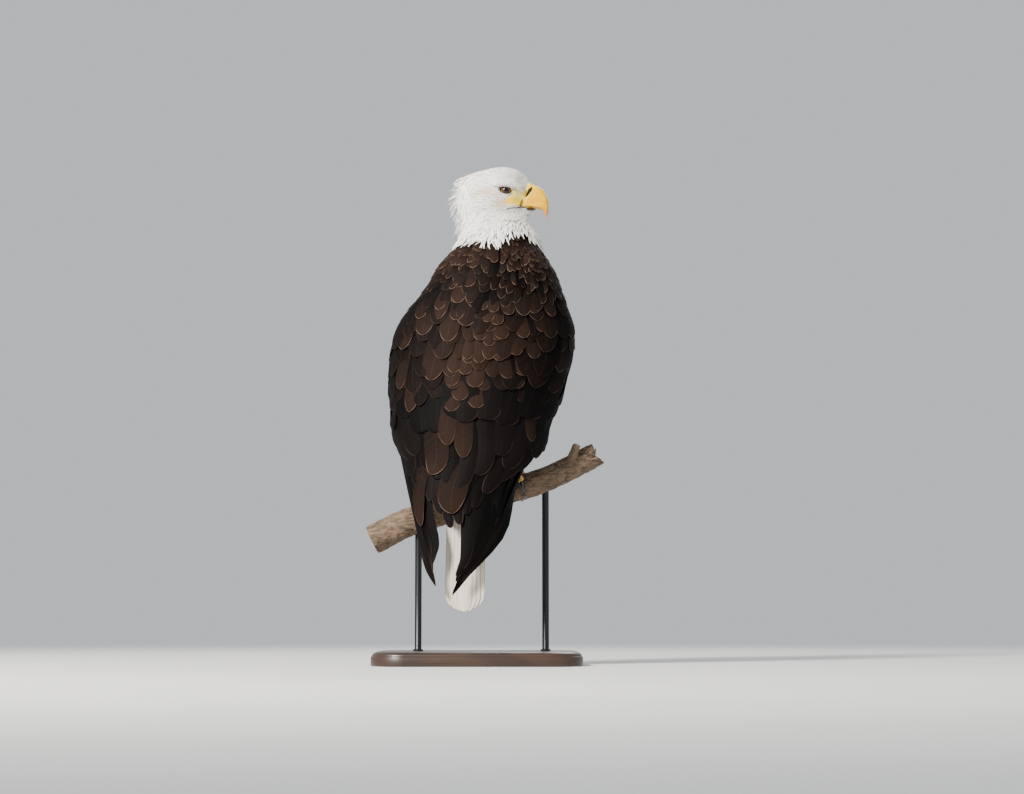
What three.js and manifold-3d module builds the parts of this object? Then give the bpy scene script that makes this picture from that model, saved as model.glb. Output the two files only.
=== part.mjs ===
// A life-size bald eagle, seen at rest on a cut length of branch that a display stand holds up.
// Millimetres, +Z up. The origin is the middle of the stand's underside. The eagle faces +Y, turned a
// little to its right, and its head is turned further, so that the bill points along +X.
import * as THREE from "three";
import { mergeVertices } from "three/addons/utils/BufferGeometryUtils.js";
import Module from "manifold-3d";

const wasm = await Module();
wasm.setup();
const { Manifold, Mesh: ManifoldMesh } = wasm;

// ---------------------------------------------------------------- driving dimensions

const GAP = 0.35; // clearance between pieces that touch
const BODY_TURN = 6; // degrees to its right that the eagle faces
const HEAD_TURN = 88; // degrees to its right that the head is turned on the body
const HEAD_PITCH = 3; // degrees that the bill points down
const LEFT = -1;
const RIGHT = 1;

const BASE = { width: 360, depth: 290, height: 24, corner: 60, edge: 4 };
const ROD = { radius: 6, xs: [-104, 118], sides: 12 };
// The branch's middle line rises by slope at each reach along it, and by bend more near its ends.
const PERCH = {
  y: 22,
  z: 286,
  reach: 200,
  slope: 50,
  bend: 26,
  radius: 23,
  taper: 1900,
  swell: [0.05, 0.04],
  ends: [-186, 214],
  sections: 13,
  sides: 12,
};
const TWIG = { x: 158, to: [[8, -20, 22], [14, -30, 40]], radii: [10, 8, 6.5], sides: 8 };
const EAGLE_AT = new THREE.Vector3(0, 18, 0);

// The folded bird's outline with its wings: for each height its middle, half width, back and front.
const ENVELOPE = [
  { z: 118, middle: -37, half: 14, back: -151, widest: -144, front: -126 },
  { z: 165, middle: -31, half: 41, back: -151, widest: -137, front: -110 },
  { z: 200, middle: -12, half: 66, back: -150, widest: -126, front: -94 },
  { z: 250, middle: -20, half: 77, back: -147, widest: -106, front: -66 },
  { z: 300, middle: -23, half: 91, back: -144, widest: -84, front: -38 },
  { z: 350, middle: -4, half: 117, back: -141, widest: -62, front: 4 },
  { z: 400, middle: -8, half: 134, back: -140, widest: -48, front: 48 },
  { z: 450, middle: -2, half: 144, back: -140, widest: -36, front: 84 },
  { z: 500, middle: 3, half: 153, back: -138, widest: -28, front: 104 },
  { z: 550, middle: 11, half: 159, back: -134, widest: -22, front: 112 },
  { z: 600, middle: 16, half: 148, back: -126, widest: -20, front: 108 },
  { z: 655, middle: 28, half: 119, back: -111, widest: -16, front: 99 },
  { z: 705, middle: 32, half: 97, back: -90, widest: -6, front: 90 },
  { z: 742, middle: 37, half: 76, back: -66, widest: 2, front: 78 },
];

// The trunk and neck inside the wings, as level rings.
const TRUNK = [
  { z: 338, middle: -6, half: 28, back: -92, widest: -52, front: -22 },
  { z: 352, middle: -6, half: 48, back: -106, widest: -50, front: -4 },
  { z: 400, middle: -6, half: 88, back: -123, widest: -38, front: 36 },
  { z: 450, middle: -2, half: 110, back: -129, widest: -30, front: 78 },
  { z: 500, middle: 3, half: 122, back: -130, widest: -22, front: 102 },
  { z: 550, middle: 10, half: 128, back: -126, widest: -16, front: 113 },
  { z: 600, middle: 16, half: 124, back: -118, widest: -12, front: 112 },
  { z: 655, middle: 26, half: 109, back: -103, widest: -8, front: 101 },
  { z: 705, middle: 32, half: 88, back: -82, widest: -2, front: 85 },
  { z: 742, middle: 37, half: 72, back: -61, widest: 4, front: 73 },
  { z: 770, middle: 31, half: 66, back: -44, widest: 8, front: 61 },
  { z: 796, middle: 25, half: 58, back: -31, widest: 11, front: 52 },
];
const TRUNK_HEIGHTS = [338, 346, 364, 392, 430, 480, 535, 590, 640, 685, 720, 748, 772, 796];
const TRUNK_SIDES = 18;
const COLLAR_Z = 738; // the white head's feathers part from the brown body's here
const JAW_Z = 778; // the head ends and the neck begins here

// The head along its own axis: crown, throat and half width at each distance from its middle.
const HEAD_AT = new THREE.Vector3(38, 12, 822);
const HEAD = [
  { x: -84, top: 17, bottom: -22, half: 14 },
  { x: -74, top: 33, bottom: -46, half: 30 },
  { x: -56, top: 42, bottom: -56, half: 40 },
  { x: -34, top: 49, bottom: -58, half: 45.5 },
  { x: -12, top: 55, bottom: -57, half: 45 },
  { x: 8, top: 56.5, bottom: -57, half: 40 },
  { x: 26, top: 53, bottom: -58, half: 31 },
  { x: 38, top: 46, bottom: -57, half: 20 },
  { x: 47, top: 38, bottom: -53, half: 13 },
  { x: 53, top: 32, bottom: -43, half: 9 },
  { x: 58, top: 27, bottom: -22, half: 6 },
];
// The sections of the head that are lofted, and their shape: rather squarer than ovals.
const HEAD_SECTIONS = [-84, -78, -66, -46, -20, 6, 24, 38, 47, 53, 58];
const HEAD_SHAPE = { sides: 16, middle: 0.52, squareness: 0.86 };
const EYE = { x: 10, side: 29, z: 9.6, radius: 11, segments: [12, 8] };
// The bony ridge over the eye: it bows out over it and thins at both ends.
const BROW = {
  from: [-9, 38, 20],
  to: [42, 19, 13.5],
  radii: [3, 5.3, 5.3, 3.6],
  rise: 3,
  bow: 5,
  sides: 6,
};

// Bill sections: a point on the top edge, one on the cutting edge, and the half width between.
const UPPER_BILL = [
  { top: [50, 30], edge: [40, -12], half: 14.5 },
  { top: [60, 26.5], edge: [52, -12.5], half: 13.5 },
  { top: [68, 23.5], edge: [61, -13.5], half: 12.2 },
  { top: [75.5, 18], edge: [69, -14.5], half: 10.6 },
  { top: [81.5, 9], edge: [74.5, -15.5], half: 9 },
  { top: [85, -2], edge: [77.5, -17.5], half: 7.2 },
  { top: [86.4, -13], edge: [79.5, -21], half: 5.2 },
  { top: [85.6, -23], edge: [81, -26.5], half: 3.2 },
  { top: [82.6, -32.6], edge: [81.4, -32.4], half: 0.9 },
];
const LOWER_BILL = [
  { top: [42, -12.6], edge: [42, -21.5], half: 12 },
  { top: [50, -13.2], edge: [50, -20.4], half: 10.6 },
  { top: [56, -14], edge: [56, -19], half: 8 },
  { top: [60.5, -14.8], edge: [60.5, -17.6], half: 5 },
  { top: [63.5, -15.5], edge: [63.5, -16.5], half: 2 },
];

// The folded wing's edges, as angles round the body from the middle of the back.
const WING_EDGES = [
  { z: 240, near: 6, far: 84 },
  { z: 370, near: 4, far: 90 },
  { z: 430, near: 3, far: 101 },
  { z: 500, near: 3, far: 114 },
  { z: 560, near: 3, far: 122 },
  { z: 610, near: 3, far: 124 },
  { z: 660, near: 4, far: 116 },
  { z: 700, near: 5, far: 99 },
  { z: 728, near: 8, far: 80 },
];
// The two wings meet on the spine, and higher up a little to its right.
const FOLD = { low: 590, high: 700, angle: 8 };
// Each row runs from its outermost feather to its innermost: angles and heights of root and tip.
// The arm and coverts are thick down to thick.to, and below thick.from only feathers are left. The
// front edge and the shoulder round in towards the body by a share of the way to its middle.
const ARM = {
  feathers: 5,
  rows: [0, 0.14, 0.31, 0.47, 0.62, 0.77, 0.92, 1],
  top: 728,
  tip: { [LEFT]: [370, 240], [RIGHT]: [372, 226] },
  lift: 1,
  step: 2.4,
  round: 15,
  feathered: [0.4, 0.8],
  thick: { flesh: 44, from: 400, to: 470 },
  edge: { share: 0.2, from: 400, to: 480, inward: 0.14 },
  shoulder: { depth: 45, inward: 0.06 },
};
const PRIMARIES = {
  feathers: 5,
  rows: [0, 0.16, 0.42, 0.68, 0.9, 1],
  root: { [LEFT]: [104, 30], [RIGHT]: [104, 2], z: [462, 440] },
  tip: {
    [LEFT]: { angle: [78, 37], z: [128, 176] },
    [RIGHT]: { angle: [78, 14], z: [126, 150] },
  },
  bend: 1.6,
  lift: -3.2,
  step: 2.2,
  round: 22,
  buried: { depth: 10, until: 0.2 },
};
const SHEET = 1.4; // least thickness of a row of flight feathers
// One feather's columns of points: how far across it, how much of a step it rises and how much of
// its tip's roundness it falls short by. Each inner feather lies on its outer neighbour.
const FEATHER_COLUMNS = [
  { across: 0, rise: 1, short: 0.35 },
  { across: 0.45, rise: 0.6, short: 0 },
  { across: 0.97, rise: 0, short: 1 },
];

// The tail hangs from its coverts: one middle feather on top and two at each side. Each feather
// tucks under its inner neighbour by a step, and its tip is round and a little shorter.
const TAIL = {
  root: { x: -6, y: -106, z: 402, half: 32 },
  tip: { x: -9, y: -119, z: 92, half: 34 },
  rows: [0, 0.35, 0.7, 0.93, 1],
  edges: [0.22, 0.6, 1],
  step: 2.6,
  overlap: 0.02,
  inner: 0.6,
  round: 9,
  shorter: 2,
  rounded: 0.9,
  arch: 8,
  thickness: 2.4,
};
const TAIL_COVERTS = [
  { z: 262, y: -114, half: 16, deep: 8 },
  { z: 290, y: -109, half: 28, deep: 14 },
  { z: 340, y: -95, half: 42, deep: 27 },
  { z: 392, y: -84, half: 46, deep: 34 },
];

// Each foot stands at a distance along the perch; its knee and heel are above and behind it.
const LEGS = [
  { side: LEFT, name: "left", foot: -46, knee: [-60, 4, 476], heel: [-52, -12, 350] },
  { side: RIGHT, name: "right", foot: 70, knee: [57, 4, 482], heel: [66, -12, 376] },
];
const THIGH = { radii: [46, 55, 49, 34, 19], forward: 38, sides: 12 };
// The shank starts above the heel, inside the thigh, and ends at the ankle, just over the branch.
const SHANK = { radii: [9, 8.5, 8.5, 9.5], sides: 8, above: 22, ankle: 8 };
// A toe's middle line leaves the ankle at the angle first, and rests most of its radius off the bark.
const TOE = { first: 0.02, rest: 0.92, knuckle: 1.2, sections: 5, sides: 7 };
// A claw starts inside its toe, arches, and comes in to the bark; its radii are shares of its own.
const CLAW = {
  radii: [0.9, 1, 0.72, 0.42, 0.1],
  start: -0.2,
  clear: 5,
  tip: 1.2,
  fall: 1.4,
  arch: 3,
  sides: 6,
};
// Toes: sideways start and end along the perch, how far round it they reach, radii and claw size.
const TOES = [
  { name: "inner", from: 5, to: 25, turn: 88, radii: [9, 8, 7], claw: { length: 34, radius: 5 } },
  { name: "middle", from: 0, to: 1, turn: 108, radii: [9, 8, 6.6], claw: { length: 30, radius: 4.5 } },
  { name: "outer", from: -5, to: -24, turn: 92, radii: [9, 7.5, 6.4], claw: { length: 27, radius: 4.2 } },
  { name: "hind", from: 0, to: 7, turn: -72, radii: [10, 8.6, 7.6], claw: { length: 37, radius: 5.4 } },
];

// ---------------------------------------------------------------- materials

const paint = (color, roughness, metalness = 0) =>
  new THREE.MeshStandardMaterial({ color, roughness, metalness });
const materials = {
  white: paint(0xf2efe6, 0.9),
  brown: paint(0x33251d, 0.8),
  flight: paint(0x261c17, 0.7),
  bill: paint(0xe9b838, 0.4),
  foot: paint(0xe2b33a, 0.6),
  claw: paint(0x121112, 0.3),
  eye: paint(0xd9c98a, 0.1),
  bark: paint(0x9a8468, 0.95),
  wood: paint(0x4a3222, 0.5),
  steel: paint(0x2b2b2d, 0.35, 0.8),
};

// ---------------------------------------------------------------- small tools

const radians = THREE.MathUtils.degToRad;
const mix = THREE.MathUtils.lerp;
const smoothstep = THREE.MathUtils.smoothstep;
const vector = (x, y, z) => new THREE.Vector3(x, y, z);

// The smooth value of one field of a list of stations that are in order of key.
function valueAt(stations, key, at, field) {
  const last = stations.length - 1;
  const clamped = THREE.MathUtils.clamp(at, stations[0][key], stations[last][key]);
  let high = 1;
  while (high < last && stations[high][key] < clamped) high++;
  const slope = (i) => {
    const a = stations[Math.max(i - 1, 0)];
    const b = stations[Math.min(i + 1, last)];
    return (b[field] - a[field]) / (b[key] - a[key]);
  };
  const [a, b] = [stations[high - 1], stations[high]];
  const step = b[key] - a[key];
  const t = (clamped - a[key]) / step;
  const eased = t * t * (3 - 2 * t);
  return (
    a[field] * (1 - eased) +
    b[field] * eased +
    step * t * (1 - t) * ((1 - t) * slope(high - 1) - t * slope(high))
  );
}

// Closed rings of equal count, joined into one skin with a fan over each end.
function loft(rings) {
  const count = rings[0].length;
  const positions = rings.flat().flatMap((p) => p.toArray());
  const index = [];
  for (let k = 0; k + 1 < rings.length; k++) {
    for (let i = 0; i < count; i++) {
      const [a, b] = [k * count + i, k * count + ((i + 1) % count)];
      index.push(a, b, b + count, a, b + count, a + count);
    }
  }
  for (const end of [0, rings.length - 1]) {
    const middle = centroid(rings[end]);
    positions.push(...middle.toArray());
    const hub = positions.length / 3 - 1;
    for (let i = 0; i < count; i++) {
      const [a, b] = [end * count + i, end * count + ((i + 1) % count)];
      index.push(...(end ? [a, b, hub] : [b, a, hub]));
    }
  }
  const geometry = new THREE.BufferGeometry();
  geometry.setAttribute("position", new THREE.Float32BufferAttribute(positions, 3));
  geometry.setIndex(index);
  return solid(geometry);
}

function centroid(points) {
  const sum = points.reduce((total, p) => total.add(p), vector(0, 0, 0));
  return sum.divideScalar(points.length);
}

// A closed three.js geometry as a manifold-3d solid, its faces turned outwards.
function solid(geometry) {
  const bare = geometry.clone();
  bare.deleteAttribute("normal");
  bare.deleteAttribute("uv");
  const merged = mergeVertices(bare, 1e-4);
  const vertProperties = new Float32Array(merged.attributes.position.array);
  const triVerts = new Uint32Array(merged.index.array);
  const made = new Manifold(new ManifoldMesh({ numProp: 3, vertProperties, triVerts }));
  if (made.volume() > 0) return made;
  for (let i = 0; i < triVerts.length; i += 3) {
    [triVerts[i], triVerts[i + 1]] = [triVerts[i + 1], triVerts[i]];
  }
  return new Manifold(new ManifoldMesh({ numProp: 3, vertProperties, triVerts }));
}

const join = (solids) => solids.reduce((a, b) => a.add(b));

// Only the largest body is kept, so that a cut leaves no crumbs.
function largest(shape) {
  return shape.decompose().reduce((a, b) => (b.volume() > a.volume() ? b : a));
}

function geometryOf(shape) {
  const made = shape.getMesh();
  const geometry = new THREE.BufferGeometry();
  geometry.setAttribute("position", new THREE.Float32BufferAttribute(made.vertProperties, 3));
  geometry.setIndex(new THREE.Uint32BufferAttribute(made.triVerts, 1));
  return geometry;
}

function node(name, shape, material) {
  const mesh = new THREE.Mesh(geometryOf(largest(shape)), material);
  mesh.name = name;
  return mesh;
}

// A round bar along points, with a radius for each; grow makes it fatter and longer.
function tube(points, radii, sides, grow = 0) {
  const last = points.length - 1;
  const heading = points.map((_, i) =>
    points[Math.min(i + 1, last)].clone().sub(points[Math.max(i - 1, 0)]).normalize(),
  );
  let across = vector(heading[0].z, heading[0].x, heading[0].y).cross(heading[0]).normalize();
  const rings = points.map((p, i) => {
    across.addScaledVector(heading[i], -across.dot(heading[i])).normalize();
    const up = heading[i].clone().cross(across);
    const middle = p.clone().addScaledVector(heading[i], i === 0 ? -grow : i === last ? grow : 0);
    return Array.from({ length: sides }, (_, k) => {
      const angle = (2 * Math.PI * k) / sides;
      return middle
        .clone()
        .addScaledVector(across, Math.cos(angle) * (radii[i] + grow))
        .addScaledVector(up, Math.sin(angle) * (radii[i] + grow));
    });
  });
  return loft(rings);
}

// Everything between two heights, wide enough for the whole bird.
function slab(low, high) {
  const box = new THREE.BoxGeometry(900, 900, high - low);
  box.translate(0, 0, (low + high) / 2);
  return solid(box);
}

// A level ring round the body. The angle starts at the middle of the back and turns to the side.
function ringPoint(stations, z, side, angle, grow = 0) {
  const field = (name) => valueAt(stations, "z", z, name);
  const widest = field("widest");
  const depth = (Math.cos(angle) > 0 ? widest - field("back") : field("front") - widest) + grow;
  return vector(
    field("middle") + side * (field("half") + grow) * Math.sin(angle),
    widest - depth * Math.cos(angle),
    z,
  );
}

function bodyRings(stations, heights, sides, grow = 0) {
  return heights.map((z) =>
    Array.from({ length: sides }, (_, i) =>
      ringPoint(stations, z, RIGHT, (2 * Math.PI * i) / sides, grow),
    ),
  );
}

const steps = (from, to, count) =>
  Array.from({ length: count }, (_, i) => mix(from, to, i / (count - 1)));

// A closed shell between two equal grids of points: an outer face, an inner face and a rim.
function shell(outer, inner) {
  const [rows, columns] = [outer.length, outer[0].length];
  const positions = [outer, inner].flat(2).flatMap((p) => p.toArray());
  const at = (layer, row, column) => (layer * rows + row) * columns + column;
  const index = [];
  const quad = (a, b, c, d) => index.push(a, b, c, a, c, d);
  const [low, side] = [rows - 1, columns - 1];
  for (let r = 0; r < low; r++) {
    for (let c = 0; c < side; c++) {
      quad(at(0, r, c), at(0, r, c + 1), at(0, r + 1, c + 1), at(0, r + 1, c));
      quad(at(1, r, c), at(1, r + 1, c), at(1, r + 1, c + 1), at(1, r, c + 1));
    }
    quad(at(0, r, 0), at(0, r + 1, 0), at(1, r + 1, 0), at(1, r, 0));
    quad(at(0, r + 1, side), at(0, r, side), at(1, r, side), at(1, r + 1, side));
  }
  for (let c = 0; c < side; c++) {
    quad(at(0, 0, c + 1), at(0, 0, c), at(1, 0, c), at(1, 0, c + 1));
    quad(at(0, low, c), at(0, low, c + 1), at(1, low, c + 1), at(1, low, c));
  }
  const geometry = new THREE.BufferGeometry();
  geometry.setAttribute("position", new THREE.Float32BufferAttribute(positions, 3));
  geometry.setIndex(index);
  return solid(geometry);
}

// ---------------------------------------------------------------- stand and perch

// The branch's middle line: it rises to the right, more steeply at its ends.
function perchPoint(x) {
  const along = x / PERCH.reach;
  return vector(x, PERCH.y, PERCH.z + PERCH.slope * along + PERCH.bend * along * Math.abs(along));
}

// The branch isn't quite round, and its ridges wind along it.
function perchRadius(x, angle = 0) {
  const [ridges, lean] = PERCH.swell;
  const swell = 1 + ridges * Math.sin(3 * angle + x / 30) + lean * Math.sin(x / 23 + angle);
  return PERCH.radius * (1 - x / PERCH.taper) * swell;
}

// Unit vectors of the branch at x: along it, towards its upper side and towards its front.
function perchAxes(x) {
  const along = perchPoint(x + 1).sub(perchPoint(x - 1)).normalize();
  const front = vector(0, 1, 0);
  return { along, front, up: along.clone().cross(front) };
}

function perchRing(x, grow) {
  const { up, front } = perchAxes(x);
  return Array.from({ length: PERCH.sides }, (_, i) => {
    const angle = (2 * Math.PI * i) / PERCH.sides;
    const radius = perchRadius(x, angle) + grow;
    return perchPoint(x)
      .addScaledVector(up, Math.cos(angle) * radius)
      .addScaledVector(front, Math.sin(angle) * radius);
  });
}

function perchSolid(grow = 0) {
  const [from, to] = PERCH.ends;
  return loft(steps(from - grow, to + grow, PERCH.sections).map((x) => perchRing(x, grow)));
}

// The stump of a side twig near the branch's higher end.
function twigSolid() {
  const start = perchPoint(TWIG.x);
  const points = [start, ...TWIG.to.map((offset) => start.clone().add(vector(...offset)))];
  return tube(points, TWIG.radii, TWIG.sides);
}

function standBase() {
  const { width, depth, height, corner, edge } = BASE;
  const [w, d] = [width / 2 - edge, depth / 2 - edge];
  const outline = new THREE.Shape();
  outline.moveTo(-w + corner, -d);
  outline.lineTo(w - corner, -d);
  outline.absarc(w - corner, -d + corner, corner, -Math.PI / 2, 0);
  outline.lineTo(w, d - corner);
  outline.absarc(w - corner, d - corner, corner, 0, Math.PI / 2);
  outline.lineTo(-w + corner, d);
  outline.absarc(-w + corner, d - corner, corner, Math.PI / 2, Math.PI);
  outline.lineTo(-w, -d + corner);
  outline.absarc(-w + corner, -d + corner, corner, Math.PI, 1.5 * Math.PI);
  const geometry = new THREE.ExtrudeGeometry(outline, {
    depth: height - 2 * edge,
    bevelThickness: edge,
    bevelSize: edge,
    bevelSegments: 1,
    curveSegments: 5,
  });
  return solid(geometry.translate(0, 0, edge));
}

function rodSolid(x, perchGrown) {
  const top = perchPoint(x).z;
  const geometry = new THREE.CylinderGeometry(ROD.radius, ROD.radius, top - BASE.height - GAP, ROD.sides);
  geometry.rotateX(Math.PI / 2);
  geometry.translate(x, PERCH.y, (top + BASE.height + GAP) / 2);
  return solid(geometry).subtract(perchGrown);
}

// ---------------------------------------------------------------- trunk, neck and head

function trunkSolid(grow = 0) {
  return loft(bodyRings(TRUNK, TRUNK_HEIGHTS, TRUNK_SIDES, grow));
}

const headFrame = new THREE.Matrix4()
  .makeTranslation(HEAD_AT.x, HEAD_AT.y, HEAD_AT.z)
  .multiply(new THREE.Matrix4().makeRotationZ(radians(90 - HEAD_TURN)))
  .multiply(new THREE.Matrix4().makeRotationY(radians(HEAD_PITCH)));
const onHead = (x, y, z) => vector(x, y, z).applyMatrix4(headFrame);

function headRing({ x, top, bottom, half }) {
  const { sides, squareness } = HEAD_SHAPE;
  const middle = mix(bottom, top, HEAD_SHAPE.middle);
  return Array.from({ length: sides }, (_, i) => {
    const angle = (2 * Math.PI * i) / sides;
    const [c, s] = [Math.cos(angle), Math.sin(angle)];
    const square = (value) => Math.sign(value) * Math.abs(value) ** squareness;
    const height = s > 0 ? top - middle : middle - bottom;
    return onHead(x, half * square(c), middle + height * square(s));
  });
}

function headSolid() {
  const section = (x) => ({
    x,
    top: valueAt(HEAD, "x", x, "top"),
    bottom: valueAt(HEAD, "x", x, "bottom"),
    half: valueAt(HEAD, "x", x, "half"),
  });
  const brows = [LEFT, RIGHT].map((side) => {
    const [a, b] = [BROW.from, BROW.to].map(([x, y, z]) => vector(x, -side * y, z));
    const points = steps(0, 1, BROW.radii.length).map((t) => {
      const p = a.clone().lerp(b, t);
      p.y -= side * BROW.bow * Math.sin(Math.PI * t);
      p.z += BROW.rise * Math.sin(Math.PI * t);
      return p.applyMatrix4(headFrame);
    });
    return tube(points, BROW.radii, BROW.sides);
  });
  return join([loft(HEAD_SECTIONS.map((x) => headRing(section(x)))), ...brows]);
}

function eyeSolid(side, grow = 0) {
  const at = onHead(EYE.x, -side * EYE.side, EYE.z);
  const ball = new THREE.SphereGeometry(EYE.radius + grow, ...EYE.segments);
  return solid(ball.translate(at.x, at.y, at.z));
}

// Half of a bill: sections with a rounded top edge and a nearly flat cutting side.
function billSolid(sections, grow = 0) {
  const outline = [
    [1, 0],
    [0.94, 0.5],
    [0.72, 0.88],
    [0.35, 1],
    [0, 0.93],
    [0, 0],
    [0, -0.93],
    [0.35, -1],
    [0.72, -0.88],
    [0.94, -0.5],
  ];
  const rings = sections.map(({ top, edge, half }) => {
    const [dx, dz] = [top[0] - edge[0], top[1] - edge[1]];
    const height = Math.hypot(dx, dz);
    return outline.map(([up, out]) => {
      const f = up + ((up - 0.5) * 2 * grow) / height;
      const wide = out * (half + grow);
      return onHead(edge[0] + f * dx, wide, edge[1] + f * dz);
    });
  });
  return loft(rings);
}

// ---------------------------------------------------------------- wings and tail

// The columns of a whole row of overlapping feathers.
function featherColumns(count) {
  return Array.from({ length: count }, (_, i) =>
    FEATHER_COLUMNS.map((column) => ({ ...column, share: (i + column.across) / count })),
  ).flat();
}

function foldAngle(z) {
  return FOLD.angle * smoothstep(z, FOLD.low, FOLD.high);
}

// The outward direction of the envelope at an angle and a height.
function envelopeNormal(z, side, angle) {
  const at = (height, turn) => ringPoint(ENVELOPE, height, side, turn);
  const round = at(z, angle + 0.05).sub(at(z, angle - 0.05));
  const down = at(z + 3, angle).sub(at(z - 3, angle));
  return round.cross(down).multiplyScalar(side).normalize();
}

// The arm, its coverts and the secondaries: thick where it lies on the trunk, thin below it.
function armSolid(side) {
  const columns = featherColumns(ARM.feathers);
  const faces = [[], []];
  for (const t of ARM.rows) {
    const row = columns.map(({ share, rise, short }) => {
      const tip = mix(...ARM.tip[side], share) + ARM.round * short;
      const z = mix(ARM.top, tip, t);
      const [near, far] = ["near", "far"].map((f) => valueAt(WING_EDGES, "z", z, f));
      const angle = radians(mix(far, near + side * foldAngle(z), share));
      const step = ARM.step * rise * smoothstep(t, ...ARM.feathered);
      const outer = ringPoint(ENVELOPE, z, side, angle);
      const core = vector(valueAt(ENVELOPE, "z", z, "middle"), valueAt(ENVELOPE, "z", z, "widest"), z);
      const edge = (1 - smoothstep(share, 0, ARM.edge.share)) * smoothstep(z, ARM.edge.from, ARM.edge.to);
      const shoulder = smoothstep(z, ARM.top - ARM.shoulder.depth, ARM.top);
      outer.lerp(core, ARM.edge.inward * edge + ARM.shoulder.inward * shoulder);
      outer.addScaledVector(envelopeNormal(z, side, angle), ARM.lift + step);
      const flesh = smoothstep(z, ARM.thick.from, ARM.thick.to);
      const thick = mix(SHEET, ARM.thick.flesh, flesh) + step;
      const inner = outer.clone().lerp(core, thick / outer.distanceTo(core));
      return [outer, inner];
    });
    faces[0].push(row.map(([outer]) => outer));
    faces[1].push(row.map(([, inner]) => inner));
  }
  return shell(...faces);
}

// The primaries, which come out from inside the arm and reach the wing's tip.
function primariesSolid(side) {
  const { root, tip, bend, lift, step, round, buried } = PRIMARIES;
  const columns = featherColumns(PRIMARIES.feathers);
  const faces = [[], []];
  for (const t of PRIMARIES.rows) {
    const row = columns.map(({ share, rise, short }) => {
      const [from, to] = [mix(...root[side], share), mix(...tip[side].angle, share)];
      const angle = radians(mix(from, to, t ** bend));
      const z = mix(mix(...root.z, share), mix(...tip[side].z, share) + round * short, t);
      const normal = envelopeNormal(z, side, angle);
      const sunk = buried.depth * (1 - smoothstep(t, 0, buried.until));
      const outer = ringPoint(ENVELOPE, z, side, angle).addScaledVector(normal, lift + step * rise - sunk);
      const inner = outer.clone().addScaledVector(normal, -SHEET - step * rise);
      return [outer, inner];
    });
    faces[0].push(row.map(([outer]) => outer));
    faces[1].push(row.map(([, inner]) => inner));
  }
  return shell(...faces);
}

function tailSolid(grow = 0) {
  const { root, tip, rows, edges, step, overlap, inner, round, shorter, rounded, arch, thickness } = TAIL;
  // From the middle outwards: each feather lies a step under the one before it.
  const half = edges.flatMap((edge, i) => {
    const from = i ? edges[i - 1] : 0;
    const middle = { share: mix(from, edge, 0.5), level: i, short: 0 };
    const outer = { share: edge, level: i, short: 1 };
    return i ? [{ share: from + overlap, level: i, short: inner }, middle, outer] : [outer];
  });
  const columns = [
    ...half.map((c) => ({ ...c, share: -c.share })).reverse(),
    { share: 0, level: 0, short: 0 },
    ...half,
  ];
  const face = (out) =>
    rows.map((t) =>
      columns.map(({ share, level, short }) => {
        const drop = (round * short + shorter * level) * Math.max((t - rounded) / (1 - rounded), 0);
        // Grown, the outer face's steps move outwards and the inner face's move inwards.
        const aside = Math.abs(share) === 1 || out > 0 ? grow : -grow;
        const x = mix(root.x, tip.x, t) + share * mix(root.half, tip.half, t) + Math.sign(share) * aside;
        const y = mix(root.y, tip.y, t) + step * level * t + arch * share * share;
        return vector(x, y - out, mix(root.z, tip.z - grow, t) + drop);
      }),
    );
  const feathers = shell(face(thickness / 2 + grow), face(-thickness / 2 - grow));
  const covertRings = TAIL_COVERTS.map(({ z, y, half: wide, deep }) =>
    Array.from({ length: 12 }, (_, i) => {
      const angle = (2 * Math.PI * i) / 12;
      return vector(root.x + (wide + grow) * Math.cos(angle), y + (deep + grow) * Math.sin(angle), z);
    }),
  );
  return join([feathers, loft(covertRings)]);
}

// ---------------------------------------------------------------- legs

const eagleFrame = new THREE.Matrix4()
  .makeTranslation(EAGLE_AT.x, EAGLE_AT.y, EAGLE_AT.z)
  .multiply(new THREE.Matrix4().makeRotationZ(radians(-BODY_TURN)));
const intoEagle = eagleFrame.clone().invert();

// A point beside the branch: angle 0 is on top of it, and a positive angle is round its front.
function aroundPerch(x, angle, distance) {
  const { up, front } = perchAxes(x);
  return perchPoint(x)
    .addScaledVector(up, Math.cos(angle) * distance)
    .addScaledVector(front, Math.sin(angle) * distance)
    .applyMatrix4(intoEagle);
}

function toePath(leg, toe) {
  const end = radians(toe.turn);
  return steps(0, 1, TOE.sections).map((t) => {
    const angle = mix(Math.sign(end) * TOE.first, end, t);
    const radius = mix(toe.radii[0], toe.radii[2], t);
    const x = leg.foot + leg.side * mix(toe.from, toe.to, t);
    const knuckle = TOE.knuckle * Math.sin(3 * Math.PI * t);
    return aroundPerch(x, angle, perchRadius(x, angle) + radius * TOE.rest + knuckle);
  });
}

function toeSolid(leg, toe) {
  const points = toePath(leg, toe);
  const radii = steps(0, 1, points.length).map((t) =>
    t < 0.5 ? mix(toe.radii[0], toe.radii[1], 2 * t) : mix(toe.radii[1], toe.radii[2], 2 * t - 1),
  );
  return tube(points, radii, TOE.sides);
}

// A claw goes on round the branch from inside its toe's end, and comes in to the bark.
function clawSolid(leg, toe, grow = 0) {
  const { length, radius } = toe.claw;
  const x = leg.foot + leg.side * toe.to;
  const start = radians(toe.turn);
  const sweep = Math.sign(start) * (length / (PERCH.radius + CLAW.clear));
  const radii = CLAW.radii.map((share) => share * radius);
  const points = steps(0, 1, radii.length).map((t) => {
    const angle = start + sweep * mix(CLAW.start, 1, t);
    const rest = mix(toe.radii[2] * CLAW.radii[0], CLAW.tip, t ** CLAW.fall);
    const lift = rest + CLAW.arch * Math.sin(Math.PI * t);
    return aroundPerch(x, angle, perchRadius(x, angle) + lift);
  });
  return tube(points, radii, CLAW.sides, grow);
}

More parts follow.
